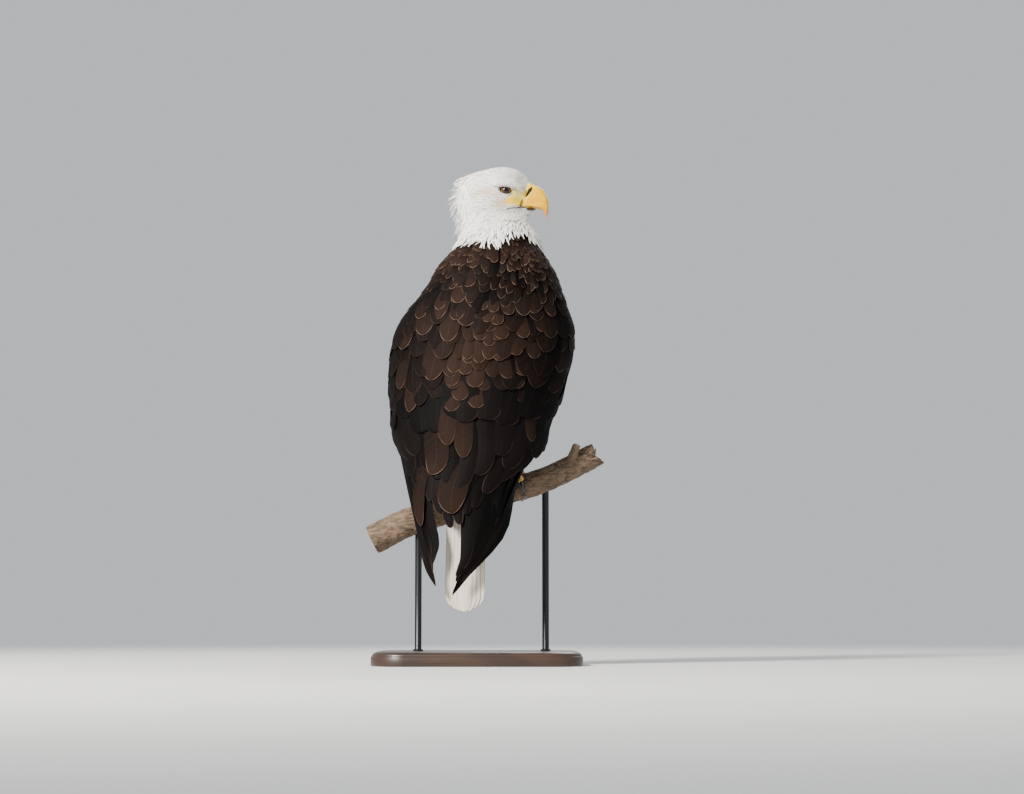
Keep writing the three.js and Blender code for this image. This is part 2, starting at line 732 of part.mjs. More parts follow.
function shankPoints(leg) {
  const top = vector(...leg.heel);
  const foot = aroundPerch(leg.foot, 0, perchRadius(leg.foot) + SHANK.ankle);
  return [top.clone().add(vector(0, 0, SHANK.above)), top, top.clone().lerp(foot, 0.5), foot];
}

function thighSolid(leg, grow = 0) {
  const [knee, heel] = [vector(...leg.knee), vector(...leg.heel)];
  const points = steps(0, 1, THIGH.radii.length).map((t) => {
    const p = knee.clone().lerp(heel, t);
    p.y += THIGH.forward * Math.sin(Math.PI * t);
    return p;
  });
  return tube(points, THIGH.radii, THIGH.sides, grow);
}

// ---------------------------------------------------------------- putting it together

const root = new THREE.Group();
const eagle = new THREE.Group();
eagle.position.copy(EAGLE_AT);
eagle.rotation.z = radians(-BODY_TURN);
root.add(eagle);

const perchGrown = perchSolid(GAP);
root.add(node("stand_base", standBase(), materials.wood));
ROD.xs.forEach((x, i) => root.add(node(`stand_rod_${i + 1}`, rodSolid(x, perchGrown), materials.steel)));
root.add(node("perch", join([perchSolid(), twigSolid()]), materials.bark));
const perchForEagle = solid(geometryOf(perchGrown).applyMatrix4(intoEagle));

// Head, neck and trunk are one body, parted by thin level cuts.
const core = join([trunkSolid(), headSolid()]);
const trunkGrown = join([trunkSolid(GAP), headSolid()]);
const eyeSockets = join([eyeSolid(LEFT, GAP), eyeSolid(RIGHT, GAP)]);
const billSockets = join([billSolid(UPPER_BILL, GAP), billSolid(LOWER_BILL, GAP)]);
const head = core.intersect(slab(JAW_Z + GAP / 2, 900)).subtract(eyeSockets).subtract(billSockets);
const neck = core.intersect(slab(COLLAR_Z + GAP / 2, JAW_Z - GAP / 2)).subtract(billSockets);
const trunk = core.intersect(slab(300, COLLAR_Z - GAP / 2));
eagle.add(node("head", head, materials.white));
eagle.add(node("neck", neck, materials.white));
eagle.add(node("bill_upper", billSolid(UPPER_BILL), materials.bill));
eagle.add(node("bill_lower", billSolid(LOWER_BILL).subtract(billSolid(UPPER_BILL, GAP)), materials.bill));
eagle.add(node("eye_left", eyeSolid(LEFT), materials.eye));
eagle.add(node("eye_right", eyeSolid(RIGHT), materials.eye));

// Legs: the claws are cut out of the toes, and each later piece is cut by those before it.
const legs = LEGS.map((leg) => {
  const shankGrown = tube(shankPoints(leg), SHANK.radii, SHANK.sides, GAP);
  const clawsGrown = join(TOES.map((toe) => clawSolid(leg, toe, GAP)));
  const toes = join(TOES.map((toe) => toeSolid(leg, toe)));
  return {
    name: leg.name,
    claws: TOES.map((toe) => [toe.name, clawSolid(leg, toe).subtract(perchForEagle)]),
    foot: toes.subtract(perchForEagle).subtract(shankGrown).subtract(clawsGrown),
    shank: tube(shankPoints(leg), SHANK.radii, SHANK.sides).subtract(perchForEagle),
    shankGrown,
    thigh: thighSolid(leg).subtract(trunkGrown).subtract(shankGrown),
    thighGrown: thighSolid(leg, GAP),
  };
});
const shanksGrown = join(legs.map((leg) => leg.shankGrown));
const thighsGrown = join(legs.map((leg) => leg.thighGrown));
for (const { name, claws, foot, shank, thigh } of legs) {
  eagle.add(node(`thigh_${name}`, thigh, materials.brown));
  eagle.add(node(`shank_${name}`, shank, materials.foot));
  eagle.add(node(`foot_${name}`, foot, materials.foot));
  for (const [toe, claw] of claws) eagle.add(node(`claw_${toe}_${name}`, claw, materials.claw));
}
eagle.add(node("trunk", trunk.subtract(shanksGrown), materials.brown));

// The tail lies inside the wings, and the wings lie on the trunk and thighs.
const flesh = join([trunkGrown, thighsGrown]);
const inside = join([flesh, tailSolid(GAP)]);
const [wingRight, wingLeft] = [RIGHT, LEFT].map((side) =>
  join([armSolid(side), primariesSolid(side)]).subtract(inside),
);
eagle.add(node("wing_right", wingRight, materials.flight));
eagle.add(node("wing_left", wingLeft, materials.flight));
eagle.add(node("tail", tailSolid().subtract(flesh), materials.white));

export default root;
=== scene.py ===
"""A life-size bald eagle on a display perch: skin, feathers, bill, eyes, feet, branch and stand."""
import math

import bmesh
import bpy
import numpy as np
from mathutils import Matrix, Vector, noise
from mathutils.bvhtree import BVHTree


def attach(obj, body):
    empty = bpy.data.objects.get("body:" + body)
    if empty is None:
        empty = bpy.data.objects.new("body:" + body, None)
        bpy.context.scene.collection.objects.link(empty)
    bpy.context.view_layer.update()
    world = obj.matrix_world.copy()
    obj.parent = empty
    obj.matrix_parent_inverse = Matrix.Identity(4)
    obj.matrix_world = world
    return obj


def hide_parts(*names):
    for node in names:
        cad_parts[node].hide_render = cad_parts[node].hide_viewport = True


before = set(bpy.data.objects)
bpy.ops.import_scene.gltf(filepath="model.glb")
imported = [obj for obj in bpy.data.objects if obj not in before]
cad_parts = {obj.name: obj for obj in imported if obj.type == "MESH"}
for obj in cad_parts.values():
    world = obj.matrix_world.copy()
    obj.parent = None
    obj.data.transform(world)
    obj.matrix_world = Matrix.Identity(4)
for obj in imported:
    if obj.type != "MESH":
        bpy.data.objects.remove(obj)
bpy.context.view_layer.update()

MM = 0.001
LEFT, RIGHT = -1, 1
SIDES = {"left": LEFT, "right": RIGHT}

# ---------------------------------------------------------------- the bird's measures

# The eagle's own axes, turned a little on the stand, and the head's, turned further.
EAGLE = Matrix.Translation((0, 18 * MM, 0)) @ Matrix.Rotation(math.radians(-6), 4, "Z")
HEAD = (
    EAGLE
    @ Matrix.Translation((38 * MM, 12 * MM, 822 * MM))
    @ Matrix.Rotation(math.radians(2), 4, "Z")
    @ Matrix.Rotation(math.radians(3), 4, "Y")
)

# Level rings: height, middle, half width, back, depth where it is widest, front.
ENVELOPE = MM * np.array([
    (118, -37, 14, -151, -144, -126),
    (165, -31, 41, -151, -137, -110),
    (200, -12, 66, -150, -126, -94),
    (250, -20, 77, -147, -106, -66),
    (300, -23, 91, -144, -84, -38),
    (350, -4, 117, -141, -62, 4),
    (400, -8, 134, -140, -48, 48),
    (450, -2, 144, -140, -36, 84),
    (500, 3, 153, -138, -28, 104),
    (550, 11, 159, -134, -22, 112),
    (600, 16, 148, -126, -20, 108),
    (655, 28, 119, -111, -16, 99),
    (705, 32, 97, -90, -6, 90),
    (742, 37, 76, -66, 2, 78),
])
# The folded wing's edges at each height, as degrees round the body from the middle of the back.
WING_EDGES = np.array([
    (240 * MM, 6, 84),
    (370 * MM, 4, 90),
    (430 * MM, 3, 101),
    (500 * MM, 3, 114),
    (560 * MM, 3, 122),
    (610 * MM, 3, 124),
    (660 * MM, 4, 116),
    (700 * MM, 5, 99),
    (728 * MM, 8, 80),
])
FOLD_LOW, FOLD_HIGH, FOLD_ANGLE = 590 * MM, 700 * MM, 8
# The head along its own axis: distance, crown, throat and half width.
HEAD_RINGS = MM * np.array([
    (-84, 17, -22, 14),
    (-74, 33, -46, 30),
    (-56, 42, -56, 40),
    (-34, 49, -58, 45.5),
    (-12, 55, -57, 45),
    (8, 56.5, -57, 40),
    (26, 53, -58, 31),
    (38, 46, -57, 20),
    (47, 38, -53, 13),
    (53, 32, -43, 9),
    (58, 27, -22, 6),
])
# The brow's ridge and the eye, in the head's millimetres.
BROW = {"from": (-9, 38, 20), "to": (42, 19, 13.5), "radii": (3, 5.3, 5.3, 3.6), "rise": 3, "bow": 5}
EYE = {"x": 10, "side": 29, "z": 9.6, "radius": 11}

# Bill sections: thousandths of its length, top edge (x, z), cutting edge (x, z) and half width.
UPPER_BILL = MM * np.array([
    (0, 50, 30, 40, -12, 14.5),
    (125, 60, 26.5, 52, -12.5, 13.5),
    (250, 68, 23.5, 61, -13.5, 12.2),
    (375, 75.5, 18, 69, -14.5, 10.6),
    (500, 81.5, 9, 74.5, -15.5, 9),
    (625, 85, -2, 77.5, -17.5, 7.2),
    (750, 86.4, -13, 79.5, -21, 5.2),
    (875, 85.6, -23, 81, -26.5, 3.2),
    (1000, 82.6, -32.6, 81.4, -32.4, 0.9),
])
LOWER_BILL = MM * np.array([
    (0, 42, -12.6, 42, -21.5, 12),
    (250, 50, -13.2, 50, -20.4, 10.6),
    (500, 56, -14, 56, -19, 8),
    (750, 60.5, -14.8, 60.5, -17.6, 5),
    (1000, 63.5, -15.5, 63.5, -16.5, 2),
])

PERCH = {"y": 22 * MM, "radius": 23 * MM, "ends": (-186 * MM, 214 * MM)}
BASE = {"width": 360 * MM, "depth": 290 * MM, "corner": 60 * MM}
ROD_PLACES = (-104 * MM, 118 * MM)
LEGS = {
    "left": {"foot": -46 * MM, "heel": (-52, -12, 350)},
    "right": {"foot": 70 * MM, "heel": (66, -12, 376)},
}
# Toes: how far beside the foot's middle they start and end, degrees round the branch, radii, and
# the claw's length and radius.
TOES = {
    "inner": {"from": 5, "to": 25, "turn": 88, "radii": (9, 8, 7), "claw": (34, 5)},
    "middle": {"from": 0, "to": 1, "turn": 108, "radii": (9, 8, 6.6), "claw": (30, 4.5)},
    "outer": {"from": -5, "to": -24, "turn": 92, "radii": (9, 7.5, 6.4), "claw": (27, 4.2)},
    "hind": {"from": 0, "to": 7, "turn": -72, "radii": (10, 8.6, 7.6), "claw": (37, 5.4)},
}

# The white hood ends at these heights, from the bird's left side to its right.
COLLAR = MM * np.array([
    (-60, 768), (-34, 760), (-10, 752), (12, 746), (34, 744), (52, 755), (64, 762), (80, 757), (101, 752),
    (120, 752),
])


# ---------------------------------------------------------------- arithmetic

def mix(a, b, share):
    return a + (b - a) * share


def smooth(low, high, value):
    """0 below low, 1 above high, and an even turn between them."""
    t = np.clip((value - low) / (high - low), 0, 1)
    return t * t * (3 - 2 * t)


def mound(value, middle, width, power=2):
    """1 at the middle, and soon 0 beyond the width on either side."""
    return np.exp(-((value - middle) / width) ** power)


def unit(vectors):
    return vectors / np.maximum(np.linalg.norm(vectors, axis=-1, keepdims=True), 1e-12)


def turns(count):
    """Even angles all the way round."""
    return np.linspace(0, 2 * np.pi, count, endpoint=False)


def around(first, second, angle):
    """Directions at angles from the first axis towards the second."""
    return np.cos(angle)[..., None] * first + np.sin(angle)[..., None] * second


def columns(values):
    """An array taken apart along its last axis."""
    return np.moveaxis(values, -1, 0)


def point(*coordinates):
    """Coordinates, each a number or an array, as points."""
    return np.stack(np.broadcast_arrays(*coordinates), -1)


def moved(matrix, points):
    """Points, in an array of any shape, through a 4x4 matrix."""
    m = np.array(matrix)
    return points @ m[:3, :3].T + m[:3, 3]


def turned(matrix, directions):
    return directions @ np.array(matrix)[:3, :3].T


def in_head(points):
    """The x, y and z of points in the head's own axes, in millimetres."""
    return columns(moved(HEAD.inverted(), points)) / MM


def station(table, key):
    """Every column of a table, read smoothly at keys of its first column."""
    keys = table[:, 0]
    last = len(keys) - 1
    key = np.clip(key, keys[0], keys[last])
    high = np.clip(np.searchsorted(keys, key), 1, last)
    before = np.maximum(np.arange(last + 1) - 1, 0)
    after = np.minimum(np.arange(last + 1) + 1, last)
    slope = (table[after] - table[before]) / (keys[after] - keys[before])[:, None]
    a, b = table[high - 1], table[high]
    step = (keys[high] - keys[high - 1])[..., None]
    t = ((key - keys[high - 1])[..., None]) / step
    share = t * t * (3 - 2 * t)
    bend = step * t * (1 - t) * ((1 - t) * slope[high - 1] - t * slope[high])
    return a * (1 - share) + b * share + bend


def eased(points, count):
    """Evenly spaced smooth readings of a short list of points or numbers."""
    points = np.asarray(points, float).reshape(len(points), -1)
    table = np.column_stack([np.arange(len(points)), points])
    return station(table, np.linspace(0, len(points) - 1, count))[:, 1:]


def collar_height(x):
    """Where the white hood gives way to the brown body, at a place across the bird."""
    return np.interp(x, *COLLAR.T)


def body_ring(z):
    """The envelope's middle, half width, back, depth where it is widest, and front."""
    return columns(station(ENVELOPE, z))[1:]


def wing_edges(z):
    """The degrees round the body of the wing's edges, on the spine and in front."""
    return columns(station(WING_EDGES, z))[1:]


def envelope_point(side, angle, z):
    """A point of the folded bird's outline, in the eagle's own axes; angle 0 is mid-back."""
    middle, half, back, widest, front = body_ring(z)
    depth = np.where(np.cos(angle) > 0, widest - back, front - widest)
    return point(middle + side * half * np.sin(angle), widest - depth * np.cos(angle), z)


def wing_point(side, share, z):
    """A point on the folded wing, from share 0 on its front edge to 1 on the spine; its front edge
    and its top round in to the body."""
    near, far = wing_edges(z)
    fold = FOLD_ANGLE * smooth(FOLD_LOW, FOLD_HIGH, z)
    outer = envelope_point(side, np.radians(mix(far, near + side * fold, share)), z)
    middle, _, _, widest, _ = body_ring(z)
    edge = (1 - smooth(0, 0.2, share)) * smooth(400 * MM, 480 * MM, z)
    shoulder = smooth(683 * MM, 728 * MM, z)
    return mix(outer, point(middle, widest, z), (0.14 * edge + 0.06 * shoulder)[..., None])


def surface_normal(surface, side, a, z):
    """The normal of one side's surface of two coordinates, by small differences."""
    da, dz = 0.02, 4 * MM
    along = surface(side, a + da, z) - surface(side, a - da, z)
    up = surface(side, a, z + dz) - surface(side, a, z - dz)
    return unit(np.cross(along, up))


# ---------------------------------------------------------------- materials

def srgb(red, green, blue):
    """A display colour of 0 to 255 as Blender's linear one."""
    share = np.array([red, green, blue]) / 255
    linear = np.where(share <= 0.04045, share / 12.92, ((share + 0.055) / 1.055) ** 2.4)
    return (*linear.tolist(), 1.0)


class Shader:
    """A material's nodes, built from the surface's constants and then its patterns."""

    def __init__(self, name, **constants):
        self.material = bpy.data.materials.new(name)
        self.material.use_nodes = True
        self.tree = self.material.node_tree
        self.surface = self.tree.nodes["Principled BSDF"]
        self.set(self.surface, constants)

    def set(self, node, inputs):
        for key, value in inputs.items():
            socket = node.inputs[key.replace("_", " ") if isinstance(key, str) else key]
            if isinstance(value, bpy.types.NodeSocket):
                self.tree.links.new(value, socket)
            else:
                socket.default_value = value

    def add(self, kind, inputs, output=0, **settings):
        node = self.tree.nodes.new("ShaderNode" + kind)
        for key, value in settings.items():
            setattr(node, key, value)
        self.set(node, inputs)
        return node.outputs[output]

    def total(self, first, *others):
        for value in others:
            first = self.add("Math", {0: first, 1: value}, operation="ADD")
        return first

    def times(self, first, second):
        return self.add("Math", {0: first, 1: second}, operation="MULTIPLY")

    def blend(self, factor, a, b):
        """A mix of two colours."""
        return self.add("Mix", {0: factor, 6: a, 7: b}, output=2, data_type="RGBA")

    def ramp(self, value, low, high, start=0.0, end=1.0):
        """A smooth step of a value, from start to end."""
        inputs = {0: value, 1: low, 2: high, 3: start, 4: end}
        return self.add("MapRange", inputs, interpolation_type="SMOOTHSTEP")

    def parts(self, attribute):
        """The three numbers of a vector attribute."""
        vector = self.add("Attribute", {}, output=1, attribute_name=attribute)
        return tuple(self.add("SeparateXYZ", {0: vector}).node.outputs)

    def place(self, stretch=None, vector=None):
        """A vector, or else the surface's place in the model, stretched along each axis."""
        vector = vector or self.add("TexCoord", {}, output=3)
        return self.add("Mapping", {0: vector, 3: stretch}) if stretch else vector

    def noise(self, scale, detail=3.0, roughness=0.5, stretch=None, vector=None):
        inputs = {"Vector": self.place(stretch, vector), "Scale": scale, "Detail": detail}
        return self.add("TexNoise", {**inputs, "Roughness": roughness})

    def bump(self, height, strength, distance):
        return self.add("Bump", {"Height": height, "Strength": strength, "Distance": distance})

    def paint(self, color, normal=None, roughness=None):
        links = {"Base_Color": color, "Normal": normal, "Roughness": roughness}
        self.set(self.surface, {key: socket for key, socket in links.items() if socket})
        return self.material


def vane_marks(s, barb_scale):
    """What a vane's material reads of it, with a place that runs along its slanting barbs."""
    across, from_edge, from_tip = s.parts("vane")
    chance, along, pale = s.parts("tone")
    slant = s.total(from_tip, s.times(from_edge, -0.75))
    barb_place = s.add("CombineXYZ", {0: s.times(slant, barb_scale), 1: chance, 2: along})
    return across, from_edge, chance, along, pale, barb_place


def feather_material(name, dark, light, rim, rim_strength, streaks, rough):
    """Dark vanes with a rachis, slanting barbs and a paler tip; light is also what age and wear leave."""
    rim_width = 1.5 * MM
    s = Shader(name, Roughness=rough, Specular_IOR_Level=0.05)
    across, from_edge, chance, along, pale, barb_place = vane_marks(s, 900.0)
    barbs = s.noise(1.0, 2.0, 0.6, (1.0, 40.0, 3.0), barb_place)
    fine = s.noise(2.6, 2.0, 0.6, (1.0, 60.0, 5.0), barb_place)
    streak = s.total(barbs, -0.5)
    wear_and_shade = s.times(s.ramp(along, 0.3, 1.0), 0.3)
    tone = s.total(s.times(chance, 0.45), s.times(pale, 0.8), wear_and_shade, s.times(streak, streaks))
    color = s.blend(s.ramp(tone, 0.05, 1.15), dark, light)
    from_middle = s.add("Math", {0: across}, operation="ABSOLUTE")
    color = s.blend(s.ramp(from_middle, 0.015, 0.05, 0.03, 0.0), color, rim)
    ragged = s.total(s.times(streak, 0.0016), from_edge)
    worn_tip = s.times(s.ramp(along, 0.76, 0.98), s.ramp(chance, 0.05, 0.9, 0.12, 1.0))
    edge = s.times(s.ramp(ragged, rim_width * 0.2, rim_width, 1.0, 0.0), worn_tip)
    color = s.blend(s.times(edge, rim_strength), color, rim)
    return s.paint(color, s.bump(fine, 0.4, 0.0005))


def white_material(name, shade, pure, cream, rough, edge=0.0):
    """White feathers: cream on the face, greyer towards the root, with painted shade in the grooves between
    barbs, and painted shade at their edges as dark as edge says."""
    s = Shader(name, Roughness=rough, Specular_IOR_Level=0.3, Subsurface_Weight=0.08,
               Subsurface_Radius=(0.004, 0.003, 0.002))
    _, from_edge, chance, along, pale, barb_place = vane_marks(s, 1400.0)
    barbs = s.noise(1.0, 2.0, 0.6, (1.0, 30.0, 2.0), barb_place)
    tone = s.total(s.times(chance, 0.5), s.times(barbs, 0.3), s.times(s.ramp(along, 0.0, 0.7), 0.5))
    # Painted shade in the grooves between barbs, with random tone from feather to feather.
    color = s.blend(s.ramp(tone, 0.1, 0.85), shade, pure)
    color = s.blend(pale, color, cream)
    if edge:
        # Painted shade along each feather's edges, where it meets the next.
        color = s.blend(s.ramp(from_edge, 0.0, 0.0016, edge, 0.0), color, srgb(70, 62, 52))
    return s.paint(color, s.bump(barbs, 0.3, 0.0003))


# ---------------------------------------------------------------- meshes

def build_mesh(vertices, face_groups):
    """A mesh from vertices and arrays of faces, each array with its own count of corners."""
    mesh = bpy.data.meshes.new("made")
    mesh.vertices.add(len(vertices))
    mesh.vertices.foreach_set("co", np.asarray(vertices, np.float32).ravel())
    corners = np.concatenate([np.asarray(group).ravel() for group in face_groups]).astype(np.int32)
    sizes = np.concatenate([np.full(len(group), group.shape[1]) for group in face_groups])
    mesh.loops.add(len(corners))
    mesh.loops.foreach_set("vertex_index", corners)
    mesh.polygons.add(len(sizes))
    mesh.polygons.foreach_set("loop_start", (np.cumsum(sizes) - sizes).astype(np.int32))
    mesh.update(calc_edges=True)
    return mesh


def joined(*parts):
    """Several (vertices, face groups) as one mesh."""
    vertices, groups, offset = [], [], 0
    for points, faces in parts:
        vertices.append(points)
        groups += [np.asarray(group) + offset for group in faces]
        offset += len(points)
    return build_mesh(np.concatenate(vertices), groups)


def add_object(name, data):
    made = bpy.data.objects.new(name, data)
    bpy.context.scene.collection.objects.link(made)
    return made


def show(name, mesh, material, slot, replaces=(), sharp=None):
    """The mesh as a piece that rides on the model's one body."""
    mesh.name = name
    mesh.polygons.foreach_set("use_smooth", np.ones(len(mesh.polygons), bool))
    if sharp:
        mesh.set_sharp_from_angle(angle=math.radians(sharp))
    mesh.materials.clear()
    mesh.materials.append(material)
    made = add_object(name, mesh)
    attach(made, "root")
    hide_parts(*replaces)


def vector_attribute(mesh, name, values):
    attribute = mesh.attributes.new(name, "FLOAT_VECTOR", "POINT")
    attribute.data.foreach_set("vector", np.asarray(values, np.float32).ravel())


def read(items, attribute, width, kind=np.float32):
    """One attribute of all a mesh's vertices, edges or triangles, a row for each."""
    values = np.empty(len(items) * width, kind)
    items.foreach_get(attribute, values)
    return values.reshape(-1, width)


def vertex_places(mesh):
    return read(mesh.vertices, "co", 3).astype(float)


def vertex_normals(mesh):
    return read(mesh.vertex_normals, "vector", 3).astype(float)


def place_vertices(mesh, places):
    mesh.vertices.foreach_set("co", places.astype(np.float32).ravel())
    mesh.update()


def grid_faces(rows, sides, closed=False):
    """The quads between rows of points, each row joined round, and last to first row if closed."""
    r, c = np.meshgrid(np.arange(rows - 1 + closed), np.arange(sides), indexing="ij")
    beside, below = (c + 1) % sides, (r + 1) % rows
    quads = [r * sides + c, r * sides + beside, below * sides + beside, below * sides + c]
    return np.stack(quads, -1).reshape(-1, 4)


def closed_loft(rings):
    """Rings (n, sides, 3) as vertices and faces, each end closed by a fan round its middle."""
    count, sides = rings.shape[:2]
    vertices = np.concatenate([rings.reshape(-1, 3), rings[[0, -1]].mean(1)])
    i = np.arange(sides)
    after = (i + 1) % sides
    last = (count - 1) * sides
    near = point(after, i, count * sides)
    far = point(last + i, last + after, count * sides + 1)
    return vertices, [grid_faces(count, sides), np.concatenate([near, far])]


def tube_rings(points, radii, sides, start_across=(0, 1, 0)):
    """Round rings along points, without twist, with a radius for each point."""
    across = np.array(start_across, float)
    rings = []
    for middle, ahead, radius in zip(points, unit(np.gradient(points, axis=0)), np.ravel(radii)):
        across = unit(across - ahead * (across @ ahead))
        rings.append(middle + around(across, np.cross(ahead, across), turns(sides)) * radius)
    return np.array(rings)


def remeshed(mesh, voxel, rounds):
    """One closed skin round everything in a mesh, then smoothed."""
    holder = add_object("holder", mesh)
    grown = holder.modifiers.new("remesh", "REMESH")
    grown.mode = "VOXEL"
    grown.voxel_size = voxel
    soft = holder.modifiers.new("soft", "SMOOTH")
    soft.factor = 0.5
    soft.iterations = rounds
    evaluated = holder.evaluated_get(bpy.context.evaluated_depsgraph_get())
    made = bpy.data.meshes.new_from_object(evaluated)
    bpy.data.objects.remove(holder)
    return made


# ---------------------------------------------------------------- feathers

class Patches:
    """Where a tuft's colours are baked: its root's place on an unwrap of the form it grows on,
    which is a ball, or else a barrel between two heights."""

    SIZE = 0.003

    def __init__(self, centre, low=None, high=None):
        self.centre, self.low, self.high = np.array(centre), low, high

    def __call__(self, roots):
        offset = roots - self.centre
        x, y, height = columns(offset)
        turn = np.arctan2(y, -x) / (2 * np.pi) + 0.5
        if self.high is None:
            height = np.arcsin(np.clip(height / np.linalg.norm(offset, axis=-1), -1, 1)) / np.pi + 0.5
        else:
            height = np.clip((height - self.low) / (self.high - self.low), 0, 1)
        return 0.01 + 0.98 * point(turn, height)


HEAD_PATCHES = Patches(HEAD.translation)
BODY_PATCHES = Patches(EAGLE.translation, 0.1, 0.9)


def blade_places(sections, round_share):
    """Places along a feather, closer together on its rounded tip."""
    tip = sections // 2
    straight = np.linspace(0, 1 - round_share, sections - tip, endpoint=False)
    bend = np.radians(np.linspace(0, 85, tip))
    return np.concatenate([straight, 1 - round_share + round_share * np.sin(bend)])


def covert_outline(t, round_share, power=0.5):
    """Half widths of a covert: it opens from the quill, runs level and ends round, or with a
    higher power in a blunt point."""
    tip = np.clip((t - 1 + round_share) / round_share, 0, 1)
    return (0.45 + 0.55 * smooth(0, 0.45, t)) * (1 - tip**2) ** power


def hackle_outline(t):
    """Half widths of a hackle: widest before its middle and drawn out to a point."""
    return (t + 0.05) ** 0.4 * (1.03 - t) ** 0.75 * 1.5


def feather_piece(name, spines, normals, half, chance, pale, coat, patches=BODY_PATCHES, roll=0.0,
                  camber=0.2, thick=0.5 * MM, across_count=5, replaces=()):
    """A tract of feathers as one mesh of closed thin blades, with what their material reads.
    spines and normals are (n, K, 3), half widths (n, K), chance and pale (n,). roll leans a
    blade sideways, and camber bends its two edges down. coat is a material and its slot; the slot is not
    used."""
    count, sections = half.shape
    roll = np.broadcast_to(roll, (count,))
    tangent = unit(np.gradient(spines, axis=1))
    side = unit(np.cross(normals, tangent))
    normal = np.cross(tangent, side)
    top = np.linspace(-1, 1, across_count)
    across = np.concatenate([top, top[-2:0:-1]])
    bulge = np.concatenate([1 - top**2, top[-2:0:-1] ** 2 - 1]) * thick / 2
    wide = half[:, :, None] * across
    height = roll[:, None, None] * wide - camber * half[:, :, None] * across**2
    height = height + bulge * np.minimum(half / half.max(1, keepdims=True) * 4, 1)[:, :, None]
    points = spines[:, :, None] + side[:, :, None] * wide[..., None]
    points = points + normal[:, :, None] * height[..., None]

    ring = len(across)
    quads = grid_faces(sections, ring)[:, [0, 3, 2, 1]]
    ends = np.stack([np.arange(ring), (sections - 1) * ring + np.arange(ring)[::-1]])
    starts = (np.arange(count) * sections * ring)[:, None, None]
    groups = [(faces[None] + starts).reshape(-1, faces.shape[-1]) for faces in (quads, ends)]
    mesh = build_mesh(points.reshape(-1, 3), groups)

    steps = np.linalg.norm(np.diff(spines, axis=1), axis=2)
    reach = np.concatenate([np.zeros((count, 1)), np.cumsum(steps, 1)], 1)[:, :, None]
    length = reach[:, -1:]
    along = reach / length
    from_edge = half[:, :, None] * (1 - np.abs(across))
    vector_attribute(mesh, "vane", point(across, from_edge, length - reach))
    tone = point(chance[:, None, None], along + 0 * across, pale[:, None, None])
    vector_attribute(mesh, "tone", tone)
    patch = patches(spines[:, 0])[:, None, None] + point(across, 2 * along - 1) * Patches.SIZE / 2
    corners = np.concatenate([group.ravel() for group in groups])
    layer = mesh.uv_layers.new(name="OFBake")
    layer.uv.foreach_set("vector", patch.reshape(-1, 2)[corners].astype(np.float32).ravel())
    show(name, mesh, *coat, replaces, sharp=60)


# ---------------------------------------------------------------- skin

WING_FLESH_Z = 470 * MM  # above this the folded wing is thick and belongs to the skin
SKIN_VOXEL = 2.7 * MM
JAW = {"z": 774 * MM, "reach": 19 * MM, "rounds": 110}  # where head and neck are evened together


def boxed(value):
    """A sine or cosine whose ellipse is a little squarer."""
    return np.sign(value) * np.abs(value) ** 0.86


def head_loft():
    """The head without its feathers' relief, as one smooth loft, with the bill's root inside it."""
    x = np.linspace(-84, 58, 60) * MM
    top, bottom, half = columns(station(HEAD_RINGS, x)[:, 1:])
    middle = mix(bottom, top, 0.52)
    angle = turns(48)
    up = boxed(np.sin(angle))
    height = np.where(up > 0, (top - middle)[:, None], (middle - bottom)[:, None]) * up
    rings = point(x[:, None], half[:, None] * boxed(np.cos(angle)), middle[:, None] + height)
    return closed_loft(moved(HEAD, rings))


def brow_tube(side):
    """The bony ridge over an eye."""
    t = np.linspace(0, 1, 16)[:, None]
    start, end = (np.array(BROW[key]) * (1, -side, 1) for key in ("from", "to"))
    points = mix(start, end, t) + np.sin(np.pi * t) * (0, -side * BROW["bow"], BROW["rise"])
    return closed_loft(moved(HEAD, tube_rings(points * MM, eased(BROW["radii"], 16) * MM, 16)))


def tail_covert_loft():
    """The flesh that the tail grows from."""
    table = np.array([(262, -114, 16, 8), (290, -109, 28, 14), (340, -95, 42, 27), (392, -84, 46, 34)]) * MM
    z, y, half, deep = columns(station(table, np.linspace(264, 390, 12) * MM))[..., None]
    angle = turns(24)
    rings = point(-6 * MM + half * np.cos(angle), y + deep * np.sin(angle), z)
    return closed_loft(moved(EAGLE, rings))


def node_above(name, height):
    """A copy of a CAD node, cut level and closed, as vertices and faces."""
    cut = bmesh.new()
    cut.from_mesh(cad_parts[name].data)
    bmesh.ops.remove_doubles(cut, verts=cut.verts, dist=0.01 * MM)
    bmesh.ops.bisect_plane(cut, geom=cut.verts[:] + cut.edges[:] + cut.faces[:], plane_co=(0, 0, height),
                           plane_no=(0, 0, -1), clear_outer=True)
    bmesh.ops.holes_fill(cut, edges=[edge for edge in cut.edges if edge.is_boundary])
    bmesh.ops.triangulate(cut, faces=cut.faces[:])
    cut.verts.index_update()
    points = np.array([vertex.co for vertex in cut.verts])
    faces = np.array([[vertex.index for vertex in face.verts] for face in cut.faces])
    cut.free()
    return points, [faces]


def nape_share(x, z):
    """1 on the nape, where the hackles stand off the neck, and 0 away from it."""
    return smooth(-48, -66, x) * smooth(-60, -44, z) * smooth(38, 22, z)


def coat_depth(points):
    """How far the feathers stand over the skin: least on the face, most on the breast and arms."""
    x, _, z = in_head(points)
    level = points[:, 2]
    face = smooth(-70, 35, x) * smooth(-75, -40, z) * smooth(735 * MM, 800 * MM, level)
    body = mix(7.0, 5.0, smooth(690 * MM, 750 * MM, level)) * MM
    return mix(body, 0.9 * MM, face) + 6 * MM * nape_share(x, z)


